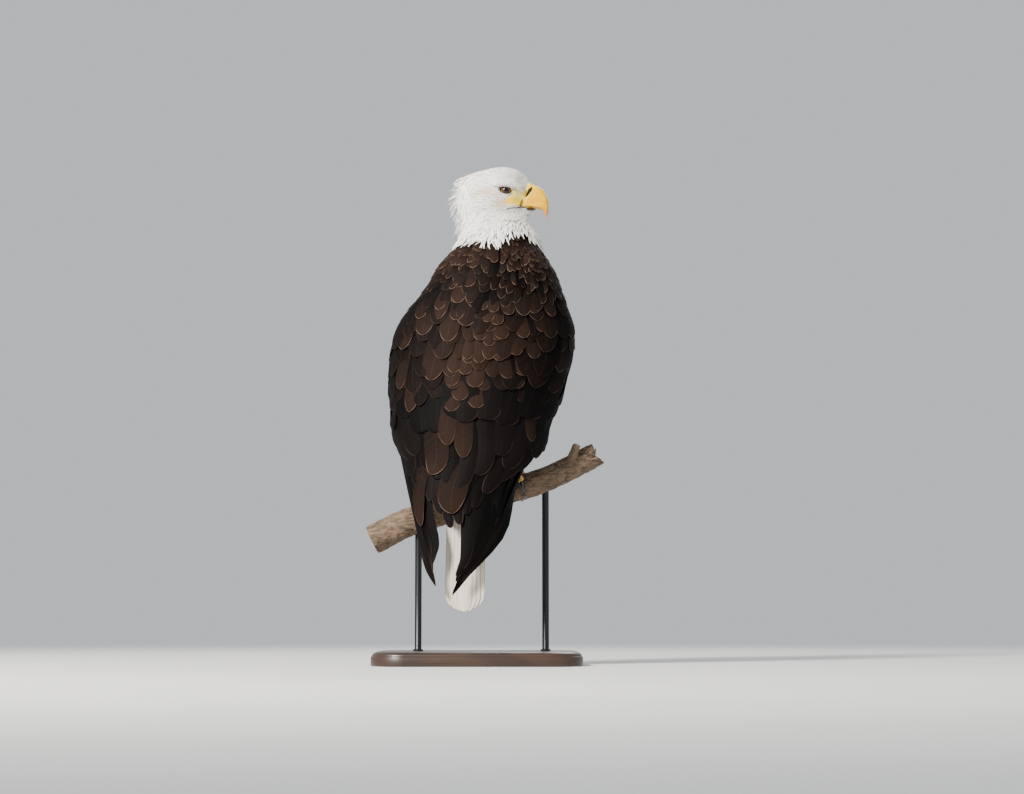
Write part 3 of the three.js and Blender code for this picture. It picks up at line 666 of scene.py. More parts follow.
def even_jaw(mesh):
    """Evens the skin by its neighbours' places where the head meets the neck."""
    places = vertex_places(mesh)
    ends = read(mesh.edges, "vertices", 2, np.int32)
    ends = np.concatenate([ends, ends[:, ::-1]])
    count = np.bincount(ends[:, 0], minlength=len(places))
    for _ in range(JAW["rounds"]):
        sums = [np.bincount(ends[:, 0], places[ends[:, 1], axis], len(places)) for axis in range(3)]
        middle = np.stack(sums, -1) / count[:, None]
        places = mix(places, middle, 0.6 * mound(places[:, 2], JAW["z"], JAW["reach"])[:, None])
    place_vertices(mesh, places)


def make_skin():
    """The bird's one skin, inside the coat, from the forms of the flesh."""
    parts = [head_loft(), brow_tube(LEFT), brow_tube(RIGHT), tail_covert_loft()]
    parts += [node_above(name, 0) for name in ("neck", "trunk", "thigh_left", "thigh_right")]
    parts += [node_above(name, WING_FLESH_Z) for name in ("wing_left", "wing_right")]
    mesh = remeshed(joined(*parts), SKIN_VOXEL, 8)
    even_jaw(mesh)
    places = vertex_places(mesh)
    place_vertices(mesh, places - vertex_normals(mesh) * coat_depth(places)[:, None])
    return mesh


def brow_line(x):
    """The height of the brow's lower edge over the eye and on to the bill, in head millimetres."""
    return np.interp(x, [-14, -4, 10, 22, 33, 44], [14.8, 15.8, 15.7, 15.0, 13.8, 12.4])


def gape_line(x):
    """The height of the mouth's line behind the bill."""
    return np.interp(x, [12, 24, 37.5, 46], [-25, -20.6, -17.2, -16.2])


def fine_face(mesh):
    """Finer faces on the face, with the brow's ledge, the hollows under it and the gape's fold."""
    made = bmesh.new()
    made.from_mesh(mesh)
    inverse = HEAD.inverted()
    near = [edge for edge in made.edges
            if (inverse @ edge.verts[0].co).x > -16 * MM and edge.verts[0].co.z > 785 * MM]
    bmesh.ops.subdivide_edges(made, edges=near, cuts=1, use_grid_fill=True, smooth=0.6)
    made.to_mesh(mesh)
    made.free()
    places = vertex_places(mesh)
    x, y, z = in_head(places)
    over = z - brow_line(x)
    gape = gape_line(x)
    ledge = 3.4 * smooth(-0.8, 1.0, over) * smooth(18, 3, over) * smooth(-18, -2, x) * smooth(46, 36, x)
    hollow = 0.5 * mound(x, 33, 9) * mound(z, -2, 11)
    socket = 1.3 * mound(x, 12, 15) * mound(z, 7, 7.5)
    fold = 1.1 * mound(z, gape, 1.5) * smooth(12, 20, x) * smooth(50, 44, x)
    lip = 0.9 * mound(z, gape + 4, 3) * smooth(12, 22, x) * smooth(50, 44, x)
    aside = smooth(4, 12, np.abs(y)) * MM
    outward = (lip - (hollow + socket + fold) * smooth(0, 6, x)) * aside
    sideways = turned(HEAD, unit(point(0.25, np.sign(y), 0.1)))
    places += vertex_normals(mesh) * outward[:, None] + sideways * (ledge * aside)[:, None]
    place_vertices(mesh, places)
    return mesh


def lores_share(x, z):
    """How bare and yellow the face is: from the eye's front and the gape on to the bill."""
    rear = np.interp(z, [-20, -12, -2, 6, 13], [4, 5.5, 15.5, 20.5, 23])
    low = np.interp(x, [5, 19, 40], [-13.4, -15.6, -15.8])
    inside = np.minimum(np.minimum((x - rear) * 0.38, (z - low) * 0.8), brow_line(x) - 0.5 - z)
    return smooth(-2.0, 2.0, inside)


def skin_material():
    """Skin under the coat, and bare on the lores and lids: yellow, creamy above, partly as painted light,
    orange behind; near black on the lids' edges, and painted shade in creases, under the brow and round the
    eye.
    """
    s = Shader("skin", Roughness=0.7, Specular_IOR_Level=0.2)
    hood, lores, dark_lids_and_shade = s.parts("mark")
    cream, orange, _ = s.parts("lores")
    grain = s.noise(160.0, 4.0, 0.6)
    pores = s.noise(900.0, 3.0, 0.6)
    brown = s.blend(grain, srgb(12, 9, 8), srgb(28, 20, 16))
    white = s.blend(grain, srgb(212, 206, 194), srgb(240, 236, 226))
    yellow = s.blend(s.ramp(pores, 0.3, 0.7), srgb(255, 206, 38), srgb(255, 222, 72))
    # The upper lores are creamier, partly as painted light where the brow's ledge is lit.
    yellow = s.blend(cream, yellow, srgb(255, 236, 150))
    yellow = s.blend(orange, yellow, srgb(240, 176, 92))
    color = s.blend(lores, s.blend(hood, brown, white), yellow)
    # Painted shade: near black in the mouth's fold, the notch before the cere, under the brow and round the
    # eye, with the lids' own dark edges.
    color = s.blend(dark_lids_and_shade, color, srgb(34, 24, 16))
    return s.paint(color, s.bump(pores, 0.4, 0.0008))


def mark_skin(mesh):
    """The same markings as the coat: white hood and tail root, yellow lores, dark lids, and painted shade
    in the mouth's fold, in the notch between the lores and the cere, under the brow and round the eye.
    """
    places = vertex_places(mesh)
    x, _, z = in_head(places)
    collar = collar_height(places[:, 0])
    hood = smooth(collar - 8 * MM, collar, places[:, 2])
    tail = smooth(-40 * MM, -48 * MM, places[:, 1]) * smooth(400 * MM, 380 * MM, places[:, 2])
    # Painted shade along the mouth's fold.
    gape = mound(z, gape_line(x), 1.9) * smooth(12, 19, x)
    middle, half = (np.interp(z, [-16, -2], ends) for ends in ([37.4, 40.6], [3.0, 1.5]))
    # Painted shadow in the notch between the lores and the cere.
    notch_shadow = mound(x, middle, half, 4) * smooth(-18, -15.5, z) * smooth(1, -4, z)
    # Painted shadow of the brow, in a band under its ledge.
    brow_shadow = mound(z, brow_line(x) - 1.4, 1.7) * smooth(-13, -3, x) * smooth(42, 24, x)
    # A dark bare ring round the eye, darker on top as painted shadow of the brow.
    away = np.hypot((x - EYE["x"]) / 12, (z - EYE["z"] + 0.3) / 7.8)
    bare_ring_and_brow_shade = smooth(1.2, 0.9, away) * mix(0.45, 1.0, smooth(-3, 3, z - EYE["z"]))
    dark_lids_and_shade = np.max([0.9 * gape, 0.85 * notch_shadow, 0.95 * brow_shadow, bare_ring_and_brow_shade, lid_edge_and_brow_shadow(places)], 0)
    vector_attribute(mesh, "mark", point(np.maximum(hood, tail), lores_share(x, z), dark_lids_and_shade))
    # The lores' cream on top is partly painted light; they are orange behind.
    vector_attribute(mesh, "lores", point(smooth(-6, 6, z), smooth(19, 9, x), 0))


# ---------------------------------------------------------------- small feathers on the skin

class Ground:
    """The skin as a surface that tufts are rooted on and lie along."""

    def __init__(self, mesh):
        mesh.calc_loop_triangles()
        places = vertex_places(mesh)
        triangles = read(mesh.loop_triangles, "vertices", 3, np.int32)
        self.corners = places[triangles]
        first, second, third = self.corners.swapaxes(0, 1)
        self.areas = np.linalg.norm(np.cross(second - first, third - first), axis=1) / 2
        self.middles = self.corners.mean(1)
        self.tree = BVHTree.FromPolygons(places.tolist(), triangles.tolist())

    def scatter(self, rng, inside, gap_at):
        """Roots on the chosen triangles, no two nearer than gap_at says; inside is a mask."""
        chosen = np.flatnonzero(inside)
        gaps = gap_at(self.middles[chosen])
        weights = self.areas[chosen] / gaps**2
        tries = int(weights.sum() * 5)
        picks = rng.choice(len(chosen), tries, p=weights / weights.sum())
        first, second, third = self.corners[chosen[picks]].swapaxes(0, 1)
        a, b = rng.random((2, tries, 1))
        a, b = np.where(a + b > 1, 1 - a, a), np.where(a + b > 1, 1 - b, b)
        points = first + a * (second - first) + b * (third - first)
        gap = gaps[picks]
        keys = np.floor(points / gap.max()).astype(int)
        cells, kept = {}, []
        for i, (x, y, z), (column, row, level) in zip(range(tries), points.tolist(), keys.tolist()):
            least = gap[i] ** 2
            clear = all(
                (x - near[0]) ** 2 + (y - near[1]) ** 2 + (z - near[2]) ** 2 > least
                for dx in (-1, 0, 1) for dy in (-1, 0, 1) for dz in (-1, 0, 1)
                for near in cells.get((column + dx, row + dy, level + dz), ())
            )
            if clear:
                cells.setdefault((column, row, level), []).append((x, y, z))
                kept.append(i)
        return points[kept]

    def follow(self, roots, lengths, flow, places, stray):
        """Spines that set off along the flow and keep to the skin, with their normals."""
        target, heading = roots, None
        spine, normals = [], []
        for share in np.diff(places, prepend=0.0):
            if heading is not None:
                target = spine[-1] + heading * (share * lengths)[:, None]
            found = [self.tree.find_nearest(place)[:2] for place in target.tolist()]
            on_skin, normal = np.array(found).swapaxes(0, 1)
            wanted = flow(on_skin) + stray
            wanted = unit(wanted - (wanted * normal).sum(1, keepdims=True) * normal)
            heading = wanted if heading is None else unit(0.5 * heading + 0.5 * wanted)
            spine.append(on_skin)
            normals.append(normal)
        spine, normals = np.stack(spine, 1), np.stack(normals, 1)
        # Normals are evened along each spine, because the skin's own faces are flat.
        evened = normals.copy()
        evened[:, 1:-1] = normals[:, :-2] + 2 * normals[:, 1:-1] + normals[:, 2:]
        return spine, unit(evened)


def head_flow(points):
    """The lie of the coat on head and neck: back over the crown, then down the neck."""
    x, _, z = in_head(points)
    back = smooth(-62, -5, x) * smooth(-62, -8, z) * 1.2 + 0.3 * smooth(-60, 0, z)
    throat = smooth(-10, -45, z) * smooth(0, 40, x)
    down = 0.12 + 1.1 * (1 - back.clip(0, 1)) + 0.5 * throat
    return unit(turned(HEAD, point(-back - 0.4 * throat, 0, -down)))


def body_flow(points):
    """The coat of the body lies downwards and a little back."""
    return np.tile((0.0, -0.15, -1.0), (len(points), 1))


def tract(name, ground, seed, inside, look, flow, coat, patches=BODY_PATCHES, sections=6, pointed=True,
          curl=1.0, **blade):
    """Tufts of one kind over part of the skin. look(points) gives width, length, gap, lift at
    the root and at the tip (metres), paleness and how far a tuft strays from the flow."""
    rng = np.random.default_rng(seed)
    roots = ground.scatter(rng, inside, lambda points: look(points)["gap"])
    made = look(roots)
    count = len(roots)
    places = np.linspace(0, 1, sections) if pointed else blade_places(sections, 0.3)
    size = rng.uniform(0.82, 1.18, count)
    stray = rng.normal(0, 1, (count, 3)) * made["stray"][:, None]
    spine, normals = ground.follow(roots, made["length"] * size, flow, places, stray)
    high = made["high"] * rng.uniform(0.75, 1.25, count)
    lift = mix(made["low"][:, None], high[:, None], places**curl)
    outline = hackle_outline(places) if pointed else covert_outline(places, 0.3)
    half = (made["width"] * size / 2)[:, None] * outline
    roll = rng.normal(0, 0.22, count)
    feather_piece(name, spine + normals * lift[:, :, None], normals, half, rng.random(count), made["pale"],
                  coat, patches, roll=roll, **blade)


def tuft(width, length, gap, low, high, pale, stray):
    """A tuft's measures, in millimetres, as the tract reads them in metres."""
    every = np.zeros(len(width))
    sizes = {"width": width, "length": length, "gap": gap, "low": low, "high": high}
    made = {key: value * MM + every for key, value in sizes.items()}
    return {**made, "pale": pale + every, "stray": stray + every}


def head_look(points):
    """White feathers: tiny on the face, longer over the crown, hackles on nape and neck."""
    x, _, z = in_head(points)
    grown = np.maximum(smooth(22, -66, x), smooth(-12, -78, z))
    collar = smooth(34 * MM, 8 * MM, points[:, 2] - collar_height(points[:, 0]))
    depth = coat_depth(points) / MM
    width = 2.1 + 2.6 * grown
    cream = 0.8 * mound(x, -18, 15) * mound(z, 4, 7) + 0.6 * mound(x, 4, 11) * mound(z, -14, 8)
    high = mix(0.9 * depth + 0.3 + 4.5 * collar, 3.5, nape_share(x, z))
    return tuft(width, 4.6 + 34 * grown**1.4, 0.62 * width, 0.12 * depth, high, np.clip(cream, 0, 1),
                0.08 + 0.14 * collar)


def spike_look(points):
    """Raised narrow hackles on the nape, which stand clear of the others at their tips."""
    _, _, z = in_head(points)
    return tuft(np.full(len(z), 2.3), mix(22.0, 11.0, smooth(-40, 10, z)), 5.8, 0.5,
                14 + 4 * mound(z, -4, 20), 0.0, 0.15)


def spike_flow(points):
    """The raised hackles point back, and the lower ones more and more down."""
    _, _, z = in_head(points)
    return unit(turned(HEAD, point(-1, 0, -0.25 - 1.2 * smooth(24, -34, z))))


def body_look(points):
    """Brown feathers of breast, belly and legs: small under the collar and on the shank."""
    z = points[:, 2] / MM
    leg, top = smooth(470, 360, z), smooth(690, 745, z)
    width, length = (mix(mix(most, high, top), low, leg) for most, high, low in ((15, 9, 9), (40, 26, 26)))
    depth = coat_depth(points) / MM
    return tuft(width, length, 0.56 * width, 0.1 * depth, 0.95 * depth, 0.12, 0.16)


def tail_covert_look(points):
    return tuft(np.full(len(points), 12.0), 46.0, 7.5, 0.8, 6.0, 0.05, 0.08)


def feathered_face(x, z):
    """True where the face is feathered: not under the bill, on the lids or on the bare lores,
    where the last feathers stand scattered."""
    chance = np.random.default_rng(5).random(len(x))
    eye = ((x - EYE["x"]) / 11.5) ** 2 + ((z - EYE["z"] + 0.3) / 7.2) ** 2 > 1
    base = x < np.interp(z, [-32, -22, -17, 4, 10, 20, 34], [62, 57, 43, 40, 40, 47, 51])
    feathered = lores_share(x, z) < 0.1 + 0.75 * chance
    mouth = (np.abs(z - gape_line(x)) > 2.0) | (x < 14)
    brow = (np.abs(z - brow_line(x) + 1.4) > 1.6) | (x < -8) | (x > 42)
    return eye & base & feathered & mouth & brow


def under_wing(x, y, z):
    """True where a folded wing covers the body, in the eagle's own axes."""
    middle, half, back, widest, front = body_ring(z)
    depth = np.where(y < widest, widest - back, front - widest)
    angle = np.degrees(np.arctan2(np.abs(x - middle) / half, (widest - y) / depth))
    return (angle < wing_edges(z)[1] - 12) & (z < 712 * MM)


def small_feathers(ground, coats):
    """The coat of head, neck, body, legs and tail coverts."""
    middles = ground.middles
    level = middles[:, 2]
    x, y, z = in_head(middles)
    own = columns(moved(EAGLE.inverted(), middles))
    white = level > collar_height(middles[:, 0])
    face = white & feathered_face(x, z)
    front = face & (x > -22) & (z > -30)
    nape = (nape_share(x, z) > 0.3) & (np.abs(y) < 20)
    tail = (own[2] < 398 * MM) & (own[1] < -62 * MM)
    body = ~white & ~tail & ~under_wing(*own)
    high = level > 480 * MM
    head = head_look, head_flow, coats["white"], HEAD_PATCHES
    for number, (name, side) in enumerate(SIDES.items()):
        half = front & (y * -side > 0)
        tract(f"face_feathers_{name}", ground, 11 + number, half, *head, across_count=3,
              thick=0.3 * MM, camber=0.1)
    tract("hackles", ground, 21, face & ~front, *head, sections=9, across_count=3)
    tract("nape_spikes", ground, 22, nape, spike_look, spike_flow, coats["white"], HEAD_PATCHES, sections=9,
          curl=0.8, across_count=3, thick=0.4 * MM)
    brown = body_look, body_flow, coats["brown"]
    round_tips = {"pointed": False, "thick": 0.6 * MM}
    tract("body_feathers", ground, 31, body & high, *brown, sections=8, **round_tips)
    tract("leg_feathers", ground, 41, body & ~high, *brown, sections=7, **round_tips)
    tract("tail_coverts", ground, 51, tail, tail_covert_look, body_flow, coats["white"], sections=8,
          **round_tips)


# ---------------------------------------------------------------- wings and tail

# A covert's width at each height on the wing, and how much lower a row lies at the wing's front.
COVERT_WIDTHS = MM * np.array([
    (440, 47), (500, 47), (550, 42), (590, 35), (620, 27), (660, 19), (700, 13.5), (735, 10),
])
ROW_DROP = 95 * MM
WING_TOP = 738 * MM
LOWEST_ROW = 480 * MM
COVERT_PLACES = blade_places(14, 0.3)
LONG_PLACES = blade_places(24, 0.16)

# The primaries' front and back edges in degrees round the body, at their roots and tips, and the
# heights of the first and the last tip.
PRIMARIES = {
    "left": {"front": (104, 78), "back": (30, 37), "tips": (128, 176)},
    "right": {"front": (104, 78), "back": (2, 14), "tips": (126, 150)},
}
# Long feathers, from the lowest tier up: how many, their tips at the wing's front and at the spine,
# length, overlap, how uneven their tips are, lift at root and tip, and inset at the spine.
TIERS = [
    (8, (366, 236), 210, 1.75, 6, (-5, 0.6), 0.2),
    (7, (386, 318), 170, 1.6, 11, (-3.5, 1.6), 0.3),
    (7, (440, 404), 130, 1.6, 12, (-3, 2.4), 0.15),
]
# The feathers that lie on top of the coverts: place of the tip across and up, width, length, how
# far to the right of the tip the root lies, and how pale the feather and its rim are.
SHOWN = {
    "left": [
        (-43, 643, 17, 40, 6, 0.1, 0.7), (-15, 646, 25, 52, 8, 0.15, 0.8),
        (12, 643, 22, 50, 6, 0.15, 0.8), (-33, 617, 30, 66, 10, 0.25, 1.0),
        (-5, 608, 28, 62, 10, 0.1, 0.5), (-64, 607, 26, 56, 14, 0.15, 0.9),
        (-95, 594, 34, 74, 24, 0.05, 0.6), (-64, 591, 34, 72, 18, 0.2, 1.0),
        (-33, 587, 31, 66, 14, 0.1, 0.6), (-89, 564, 39, 84, 26, 0.1, 0.8),
        (-50, 550, 36, 88, 30, 0.2, 1.0), (-124, 542, 46, 96, 34, 0.05, 0.7),
        (-78, 484, 44, 110, 30, 0.1, 0.9), (-131, 473, 32, 92, 16, 0.3, 0.3),
        (-114, 432, 36, 120, 26, 0.25, 0.4), (-48, 372, 36, 130, 12, 0.55, 0.2),
        (-22, 350, 34, 130, 8, 0.5, 0.1), (-76, 322, 46, 130, 18, 0.1, 0.8),
        (-40, 256, 52, 140, 16, 0.05, 0.9), (-92, 236, 28, 170, 16, 0.4, 0.1),
    ],
    "right": [
        (13, 604, 20, 46, -4, 0.6, 0.7), (31, 600, 22, 44, -6, 0.35, 0.6),
        (22, 583, 26, 50, -4, 0.5, 0.8), (4, 551, 27, 56, 8, 0.5, 0.8),
        (38, 578, 26, 48, -8, 0.3, 0.9), (57, 596, 24, 46, -10, 0.25, 0.6),
        (44, 553, 28, 54, -10, 0.4, 0.8), (80, 556, 27, 56, -12, 0.3, 1.0),
        (66, 526, 28, 54, -10, 0.35, 0.8), (38, 516, 28, 52, -6, 0.35, 0.9),
        (96, 522, 28, 56, -10, 0.15, 0.7), (20, 541, 24, 50, 0, 0.45, 0.6),
        (78, 492, 30, 60, -10, 0.15, 0.8), (52, 486, 28, 58, -8, 0.2, 0.8),
        (104, 484, 28, 60, -8, 0.1, 0.7), (98, 600, 27, 54, -10, 0.1, 0.6),
        (112, 568, 28, 56, -10, 0.1, 0.5), (70, 470, 28, 60, -8, 0.1, 0.6),
        (-17, 518, 21, 46, 4, 0.8, 0.8), (3, 512, 23, 48, 2, 0.8, 0.9),
        (-40, 496, 26, 50, 8, 0.6, 0.7), (-20, 492, 26, 50, 4, 0.7, 0.9),
        (-43, 474, 30, 56, 8, 0.5, 0.6), (-3, 470, 32, 60, 2, 0.75, 1.0),
        (-29, 448, 32, 62, 4, 0.6, 0.8), (-1, 435, 34, 66, 0, 0.6, 1.0),
        (-44, 430, 32, 66, 6, 0.4, 0.6), (92, 380, 26, 100, -8, 0.5, 0.1),
    ],
}


def wing_arc(z):
    """The length round the wing at a height, from its front edge to the spine."""
    _, half, back, widest, _ = body_ring(z)
    near, far = wing_edges(z)
    return np.radians(far - near) * (half + widest - back) / 2


def covert_width(share, z):
    """Coverts are narrower towards the wing's front, and low down along the spine."""
    width = station(COVERT_WIDTHS, z)[..., 1] * (0.5 + 0.5 * smooth(0, 0.35, share))
    return width * (1 - 0.32 * smooth(0.74, 0.95, share) * smooth(575 * MM, 540 * MM, z))


def smoothed(values, rows, places):
    """Readings (n, rows, 3) along each spine, joined by smooth curves and read at other places."""
    table = np.column_stack([rows, values.swapaxes(0, 1).reshape(len(rows), -1)])
    return station(table, places)[:, 1:].reshape(len(places), len(values), 3).swapaxes(0, 1)


def blades_along(surface, side, outward, at, z, lift, rows, places):
    """Spines and normals of feathers that lie along a surface, as far off it as lift says. They
    are read from it at a few rows, so that they don't follow every swell."""
    normal = surface_normal(surface, side, at, z) * outward
    spine = surface(side, at, z) + normal * lift[..., None]
    spine, normal = (smoothed(values, rows, places) for values in (spine, normal))
    return moved(EAGLE, spine), turned(EAGLE, unit(normal))


def blades_on_wing(side, share, root_z, tip_z, lean, places, low, high):
    """Spines and normals of feathers that lie down the folded wing at a share of its breadth."""
    rows = np.array([0, 0.3, 0.55, 0.8, 1])
    z = mix(root_z[:, None], tip_z[:, None], rows)
    along = share[:, None] + lean[:, None] * (rows - 1)
    lift = mix(low[:, None], high[:, None], rows)
    return blades_along(wing_point, side, -side, along, z, lift, rows, places)


def covert_tips(rng):
    """Where the rows of coverts end, as shares and heights. Each row is spaced from the spine by
    its feathers' widths, is staggered, and hangs lower towards the wing's front."""
    heights = [WING_TOP + ROW_DROP]
    while heights[-1] > LOWEST_ROW:
        heights.append(heights[-1] - 0.6 * covert_width(0.6, heights[-1] - 0.2 * ROW_DROP))
    step, spacing = 0.02, 0.78
    share = np.arange(-0.03, 1.02 + step / 2, step)
    tips = []
    for row, height in enumerate(heights):
        z = height - ROW_DROP * (1 - share)
        crowd = 1 / (covert_width(share, z) / wing_arc(z))
        count = np.concatenate([[0], np.cumsum(step * 0.5 * (crowd[1:] + crowd[:-1]))]) / spacing
        wanted = count[-1] - np.arange(0.5 * (row % 2) + rng.uniform(0, 0.15), count[-1], 1.0)
        at = np.interp(wanted, count, share)
        tips.append(point(at, height - ROW_DROP * (1 - at)))
    tips = np.concatenate(tips)
    return columns(tips[tips[:, 1] < WING_TOP - 20 * MM])


def covert_rows(name, rng):
    """The scapulars and coverts. The left wing's are plain and dark but for those high up and
    along the spine, where they lie higher. The right wing's have pale rims and stand untidily by the
    shoulder; they are painted darker, with fewer rims, towards the wing's front and low down, as shade."""
    side = SIDES[name]
    share, tip_z = covert_tips(rng)
    count = len(share)
    first = covert_width(share, tip_z)
    tip_z = tip_z + rng.normal(0, 0.17, count) * first
    share = share + rng.normal(0, 0.09, count) * first / wing_arc(tip_z)
    width = first * rng.uniform(0.85, 1.15, count)
    root_z = np.minimum(tip_z + width * rng.uniform(2.2, 2.6, count), WING_TOP - 4 * MM)
    untidy = raised = 0 * share
    if side == LEFT:
        across_spine = smooth(560 * MM, 600 * MM, tip_z) * smooth(705 * MM, 680 * MM, tip_z)
        raised = 3 * MM * across_spine * smooth(0.8, 1.0, share)
        wear_and_shade = np.maximum(smooth(610 * MM, 670 * MM, tip_z), 0.8 * smooth(0.8, 0.95, share))
    else:
        untidy = smooth(0.45, 0.6, share) * smooth(590 * MM, 640 * MM, tip_z)
        # Painted shade: the right wing's coverts darken, with fewer rims, towards its front and low down.
        wear_and_shade = smooth(0.12, 0.5, share) * mix(0.3, 1.0, smooth(440 * MM, 540 * MM, tip_z))
    lean = rng.normal(0, 1, count) * mix(0.016, 0.06, untidy)
    low = -1.5 * MM - 0.11 * width + raised
    high = (0.9 * MM + 0.05 * width) * rng.uniform(0.5, 1.9, count) + raised
    spine, normal = blades_on_wing(side, share, root_z, tip_z, lean, COVERT_PLACES, low, high)
    half = (width / 2)[:, None] * covert_outline(COVERT_PLACES, 0.32, 0.62) * (1 - 0.3 * untidy[:, None])
    low_by_spine = smooth(0.76, 0.95, share) * smooth(580 * MM, 545 * MM, tip_z)
    pale = 0.5 * smooth(650 * MM, 700 * MM, tip_z) + 0.5 * low_by_spine
    roll = side * 0.04 + rng.normal(0, 1, count) * mix(0.03, 0.28, untidy)
    return spine, normal, half, rng.random(count) * mix(0.25, 1.0, wear_and_shade), pale, roll


def share_at(side, x, z):
    """Where across its breadth the folded wing passes places x, at heights z."""
    grid = np.linspace(0.3, 1.4, 140)
    shares = []
    for at, height in zip(x, z):
        passed = moved(EAGLE, wing_point(side, grid, height))[:, 0] * -side
        shares.append(np.interp(at * -side, passed, grid))
    return np.array(shares)


def shown_feathers(name, rng):
    """The coverts that lie over the others, each at its own place, with its root under the tip of
    the one above it."""
    side = SIDES[name]
    x, tip_z, width, length, swing, pale, rim = np.array(SHOWN[name]).T
    tip_z, width, length = tip_z * MM, width * MM, length * MM
    share = share_at(side, x * MM, tip_z)
    lean = share - share_at(side, (x + swing) * MM, np.minimum(tip_z + length, WING_TOP))
    low, high = -1.0 * MM - 0.05 * width, 2.2 * MM + 0.06 * width
    spine, normal = blades_on_wing(side, share, tip_z + length, tip_z, lean, COVERT_PLACES, low, high)
    half = (width / 2)[:, None] * covert_outline(COVERT_PLACES, 0.3, 0.58)
    return spine, normal, half, 0.3 + 0.7 * rim, pale, rng.normal(0, 0.03, len(x))


def long_feathers(side, rng, count, tips, length, overlap, jitter, lift, inset):
    """One tier of long wing feathers, from the wing's front to the spine, where the right wing
    lies over the left."""
    upper = side == RIGHT
    share = np.linspace(0, 1, count)
    tip_z = mix(*tips, share) * MM + rng.normal(0, jitter * MM, count)
    arc = wing_arc(tip_z + 40 * MM)
    width = arc / count * overlap
    share = mix(0.5 * width / arc, 1 - (inset - 0.35 * upper) * width / arc, share)
    low, high = (np.full(count, (value + 1.2 * upper) * MM) for value in lift)
    lean = rng.normal(0, 0.012, count)
    spine, normal = blades_on_wing(side, share, tip_z + length * MM, tip_z, lean, LONG_PLACES, low, high)
    return spine, normal, (width / 2)[:, None] * covert_outline(LONG_PLACES, 0.14)


def primary_outline(t):
    """Half widths of a primary, which narrows along its outer half."""
    return 15 * MM * covert_outline(t, 0.2, 0.7) * mix(1.2, 0.66, smooth(0.4, 1, t))


def primaries(name, rng):
    """The long outer feathers that make the wing's tip, below and inside the others."""
    side, measures = SIDES[name], PRIMARIES[name]
    share = np.linspace(0, 1, 6)[:, None]
    rows = np.array([0, 0.16, 0.42, 0.68, 0.9, 1])
    tip_z = mix(*measures["tips"], share) + rng.normal(0, 4, share.shape)
    z = mix(mix(462, 440, share), tip_z, rows) * MM
    # The outermost feathers' own edges are the wing's edges, so their middles lie further in.
    front, back = (np.radians(mix(*measures[edge], rows**1.6)) for edge in ("front", "back"))
    girth = body_ring(z)[1] + 20 * MM
    inset = np.minimum(primary_outline(np.minimum(rows, 0.84)) / girth, 0.45 * (front - back))
    angle = mix(front - inset, back + inset, share)
    sunk = mix(-9 * MM, -2.6 * MM, smooth(0, 0.3, rows))
    spine, normal = blades_along(envelope_point, side, side, angle, z, sunk, rows, LONG_PLACES)
    return spine, normal, primary_outline(LONG_PLACES) + 0 * share


def together(*sets):
    """Several sets of feathers as one."""
    return [np.concatenate(kind) for kind in zip(*sets)]


def wing(name, rng, coats):
    """A folded wing: its coverts as one piece, its flight feathers as another."""
    side = SIDES[name]
    *coverts, roll = together(covert_rows(name, rng), shown_feathers(name, rng))
    feather_piece(f"wing_coverts_{name}", *coverts, coats["brown"], roll=roll, camber=0.08,
                  thick=0.7 * MM, across_count=7)
    flight = together(primaries(name, rng), *(long_feathers(side, rng, *tier) for tier in TIERS))
    count = len(flight[0])
    pale, chance = rng.uniform(0, 0.3, count), rng.random(count)
    feather_piece(f"wing_feathers_{name}", *flight, chance, pale, coats["flight"],
                  roll=side * 0.06 + rng.normal(0, 0.02, count), camber=0.1, thick=1.0 * MM,
                  across_count=7, replaces=[f"wing_{name}"])


def tail(rng, coat):
    """Seven white feathers, each a step under the one nearer the middle."""
    order = np.array([0, -1, 1, -2, 2, -3, 3])[:, None]
    share, level = order / 3 * 0.62, np.abs(order)
    t = blade_places(20, 0.07)
    x = mix(-6, -9, t) + share * mix(32, 34, t)
    y = mix(-106, -119, t) + 1.3 * level * t + 5 * share**2 - 1.0
    z = mix(402, 91 + 1.6 * level**1.6 + rng.normal(0, 1.0, order.shape), t)
    spine = moved(EAGLE, point(x, y, z) * MM)
    normal = turned(EAGLE, np.broadcast_to((0.0, -1.0, 0.0), spine.shape))
    half = 13.5 * MM * covert_outline(t, 0.09) * mix(0.8, 1.0, t) + 0 * share
    pale, chance = rng.uniform(0.1, 0.4, len(order)), rng.random(len(order))
    feather_piece("tail_feathers", spine, normal, half, chance, pale, coat,
                  roll=np.sign(order[:, 0]) * -0.03, camber=0.06, thick=1.1 * MM, across_count=7,
                  replaces=["tail"])


# ---------------------------------------------------------------- bill and eyes

# Half of a bill's section, from the middle of its top edge to the middle of its cutting side.
BILL_SECTION = [(1, 0), (0.985, 0.26), (0.93, 0.52), (0.72, 0.87), (0.35, 1), (0.07, 0.97), (0.0, 0.88),
                (0.03, 0.5), (0.05, 0)]
# The nostril's slit and the groove under it: places on the bill's side with half widths.
NOSTRIL = np.array([(55.4, 19.6, 2.0), (52.8, 15.2, 3.3), (49.8, 9.6, 2.4), (46.0, 3.0, 0.9)])
NOSTRIL_DEEP = 2.4


def nostril_distance(x, z):
    """How far a place on the bill's side is outside the nostril and its groove."""
    nearest = np.full(x.shape, np.inf)
    for a, b in zip(NOSTRIL[:-1], NOSTRIL[1:]):
        ahead = b - a
        share = np.clip(((x - a[0]) * ahead[0] + (z - a[1]) * ahead[1]) / (ahead[:2] @ ahead[:2]), 0, 1)
        away = np.hypot(x - mix(a[0], b[0], share), z - mix(a[1], b[1], share))
        nearest = np.minimum(nearest, away - mix(a[2], b[2], share))
    return nearest


